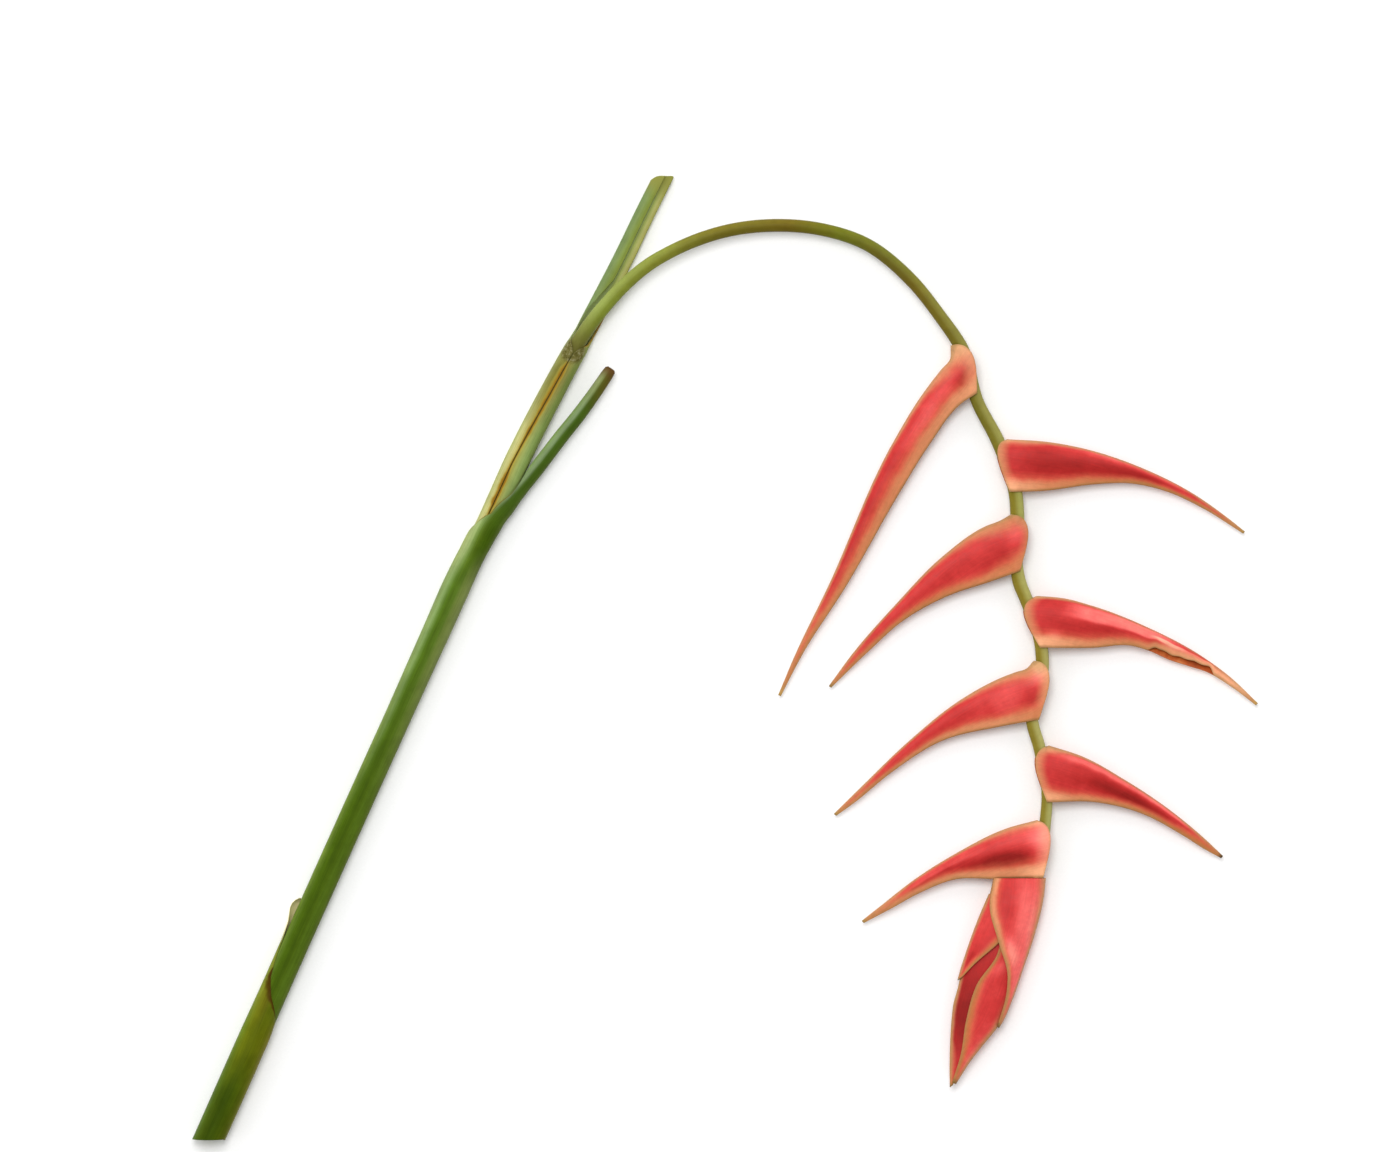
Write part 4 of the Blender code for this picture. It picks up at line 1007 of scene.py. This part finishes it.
# Outermost first: layers on top of it, side of its keel (1 right, -1 left), free edge from base to tip, first
# and last level, level where it comes out from under the bract on its keel's side
BUD_BRACTS = {
    "bud_bract_8": (
        0, 1,
        ((134, -111), (131.7, -124.5), (136, -143), (140.5, -159), (140, -168.5), (135.8, -184.5)),
        (-111, -186), None,
    ),
    "bud_bract_9": (
        1, -1,
        ((153, -119), (146, -133), (135.7, -143.5), (124.3, -153.5), (117.3, -161)),
        (-119, -162), None,
    ),
    "bud_bract_10": (
        2, 1,
        ((139, -129), (135, -149.5), (125.2, -164), (120, -181.5), (117.2, -199), (113, -213)),
        (-127, -214), -194,
    ),
    "bud_bract_11": (
        3, -1,
        ((143, -139), (140, -164.5), (130.5, -187), (119, -203), (113.2, -214.5)),
        (-136, -215.5), -170,
    ),
}
BUD_BANDS = {
    "bud_bract_8": ((0.13, 0.14, 0.18, 0.28, 0.8), (0.12, 0.1, 0.1, 0.1, 0.3), (0.6, 0.5, 0.35, 0.3, 0.3)),
    "bud_bract_9": ((0.14, 0.16, 0.2, 0.28, 0.5), (0.06, 0.06, 0.06, 0.06, 0.3), (0, 0, 0, 0, 0)),
    "bud_bract_10": ((0.12, 0.12, 0.15, 0.24, 0.5), (0.06, 0.06, 0.1, 0.15, 0.5), (0, 0, 0, 0, 0)),
    "bud_bract_11": ((0.1, 0.1, 0.1, 0.1, 0.3), (0.05, 0.05, 0.05, 0.08, 0.4), (0, 0, 0, 0, 0)),
}
# The bases lie hidden this far up under the bract above, in mm, so no collar shows. How dark the tips are.
BUD_BASE = 8.0
BUD_COLLAR = 3.0
BUD_TAN = 0.5
BUD_TIP_DARKNESS = 0.6
# Paler and deeper red patches of the bud's bracts: partly their own mottling, partly painted highlight and
# painted shade.
BUD_TONE_AND_SHADE_PATCHES = {
    "bud_bract_8": ((0.15, 0.66, 0.14, 0.16, -0.3), (0.2, 0.35, 0.3, 0.2, 0.75), (0.3, 0.12, 0.3, 0.12, 0.8),
                    (0.5, 0.7, 0.14, 0.25, 0.9), (0.75, 0.3, 0.3, 0.5, 0.9)),
    "bud_bract_9": ((0.75, 0.35, 0.12, 0.2, -0.6), (0.3, 0.85, 0.3, 0.25, -0.3), (0.4, 0.4, 0.3, 0.4, 0.1)),
    "bud_bract_10": ((0.85, 0.25, 0.15, 0.4, 0.7), (0.32, 0.6, 0.06, 0.3, 0.6)),
    "bud_bract_11": ((0.5, 0.3, 0.3, 0.6, -1.35), (0.35, 0.5, 0.04, 0.2, 0.4)),
}


def across_at(outline, level):
    """How far right an outline of the bud lies at one level down the photograph."""
    outline = np.array(outline)
    return float(smooth_curve(-outline[:, 1], outline[:, 0], [-level])[0])


def bud_bract(node, layer, keel_side, lips, levels, uncovered):
    """A closed bract of the bud. It lies in an oval tube, inside those of the bracts on top of it."""
    reach = abs(levels[1] - levels[0])
    edges = along_line(lips, np.arange(BUD_ROWS + 1) / BUD_ROWS)

    # Each side of a bract lies inside the outline by half a wall, and by a layer more for each bract outside
    # it. A far side that lies over the next bract instead is one layer outside.
    def tube(level):
        tight = 1 - BUD_TIP_CLOSENESS * smooth_share(level, *BUD_TIP_LEVELS)
        gap = BUD_LAYER * tight
        covered = 0.0
        if uncovered is not None:
            covered = smooth_share(level, uncovered - UNCOVERING, uncovered + UNCOVERING)
        keel_inset = BUD_WALL / 2 * tight + gap * covered
        if uncovered is None:
            far_inset = BUD_WALL / 2 + gap * (-1 if layer == 0 else 1)
        else:
            far_inset = BUD_WALL / 2 * tight + gap * ((2 * covered - 1) if layer == 2 else 1 + covered)
        left, right = (keel_inset, far_inset) if keel_side < 0 else (far_inset, keel_inset)
        start = across_at(BUD_LEFT, level) + left
        end = across_at(BUD_RIGHT, level) - right
        depth = table_row(BUD_HALF_DEPTH, -level)[0] - gap * layer
        return start, end, max(depth, TIP_HALF_WIDTH)

    rows = []
    for index in range(BUD_ROWS + 1):
        level = levels[0] + (levels[1] - levels[0]) * index / BUD_ROWS
        start, end, _ = tube(level)
        top = np.array((end if keel_side > 0 else start, level))
        edge = edges[index]
        start, end, _ = tube(edge[1])
        lip_turn = math.acos(max(-1.0, keel_side * (2 * edge[0] - start - end) / (end - start)))
        rows.append((top, edge, lip_turn))

    def place(row_share, across):
        top, edge, lip_turn = rows[round(row_share * BUD_ROWS)]
        share = (1 - math.cos(lip_turn * abs(across))) / (1 - math.cos(lip_turn))
        flat = top + (edge - top) * share
        start, end, depth = tube(flat[1])
        offset = (2 * flat[0] - start - end) / (end - start)
        depth *= math.sqrt(max(0.0, 1 - offset**2))
        distance, _, radius = nearest_stalk(flat)
        clasp = radius + BUD_CLASP_GAP + BUD_WALL / 2
        if layer == 0 and across and distance < clasp:
            depth = max(depth, math.sqrt(clasp**2 - distance**2))
        width = float(np.linalg.norm(edge - top))
        height = BUD_HEIGHT + math.copysign(depth, across) * (across != 0)
        return Vector((*flat, height)), {
            **band_marks(BUD_BANDS[node], row_share, share),
            "lip": (1 - share) * width,
            "keel": share * width,
            "base": row_share * reach + BUD_BASE,
            "collar": BUD_COLLAR,
            "tan": BUD_TAN,
            "tip": row_share,
            "dark": BUD_TIP_DARKNESS,
            "tone_and_shading": tone_and_shade_at(BUD_TONE_AND_SHADE_PATCHES[node], row_share, share),
        }

    return fold_sheet("closed_" + node, BUD_ROWS, BUD_COLUMNS, place, BUD_WALL, node)


for node, sizes in BUD_BRACTS.items():
    bud_bract(node, *sizes)

# The table, the light and the camera
# The flower lies on white card, seen straight from above. One large soft light hangs over it, a little
# beyond the photograph's top edge, in a pale room.

# Matt white card: it scatters evenly and only its shadows show
card, tree, shader = new_material("matt white card", 0.9, 1.45, 0.1)
where = add(tree, "TexCoord", out=3)
tooth = add(tree, "TexNoise", {"Vector": where, "Scale": 900.0, "Detail": 2.0})
colour = add(tree, "ValToRGB", {"Fac": tooth}, stops=((0.3, "#fcfcfc"), (0.7, "#ffffff")))
tree.links.new(colour, shader.inputs["Base Color"])

bm = bmesh.new()
bmesh.ops.create_grid(bm, x_segments=1, y_segments=1, size=5.0)
floor_mesh = bpy.data.meshes.new("table_top")
bm.to_mesh(floor_mesh)
bm.free()
floor_mesh.materials.append(card)
floor = bpy.data.objects.new("table_top", floor_mesh)
bpy.context.scene.collection.objects.link(floor)

# A pale room that is darker straight above, where the photographer stands, and brightest at the upper left
world = bpy.data.worlds.new("pale room")
bpy.context.scene.world = world
world.use_nodes = True
tree = world.node_tree
way = add(tree, "TexCoord")
height = add(tree, "SeparateXYZ", {"Vector": way}, out=2)
colour = add(
    tree, "ValToRGB", {"Fac": height},
    stops=((0, "#f4f4f4"), (0.6, "#ffffff"), (0.85, "#c8c8c8"), (1, "#8c8c8c")),
)
towards = add(tree, "VectorMath", {0: way, 1: (-0.6, 0.8, 0.0)}, out=1, operation="DOT_PRODUCT")
strength = add(
    tree, "MapRange", {"Value": towards, "From Min": -1.0, "From Max": 1.0, "To Min": 0.5, "To Max": 1.3}
)
room = tree.nodes["Background"]
tree.links.new(colour, room.inputs["Color"])
tree.links.new(strength, room.inputs["Strength"])

LIGHT_PLACE = Vector((-0.2, 0.75, 2.8))
light = bpy.data.lights.new("soft_light_above", "AREA")
light.shape = "SQUARE"
light.size = 1.3
light.energy = 46.0
lamp = bpy.data.objects.new("soft_light_above", light)
lamp.location = LIGHT_PLACE
lamp.rotation_euler = (-LIGHT_PLACE).to_track_quat("-Z", "Y").to_euler()
bpy.context.scene.collection.objects.link(lamp)

# The photograph shows 694.5 mm from side to side, around this point of the table
PHOTO_WIDTH = 0.6945
PHOTO_MIDDLE = (-0.01551, 0.03994)
# The camera stands where it sees that width at MIDDLE_HEIGHT, about half the flower's height
LENS = 180.0
SENSOR = 36.0
MIDDLE_HEIGHT = 7 * MM
camera_data = bpy.data.cameras.new("camera")
camera_data.lens = LENS
camera_data.sensor_width = SENSOR
camera_data.clip_end = 20.0
camera = bpy.data.objects.new("camera", camera_data)
camera.location = (*PHOTO_MIDDLE, PHOTO_WIDTH * LENS / SENSOR + MIDDLE_HEIGHT)
bpy.context.scene.collection.objects.link(camera)
bpy.context.scene.camera = camera
bpy.context.scene.view_settings.view_transform = "Standard"
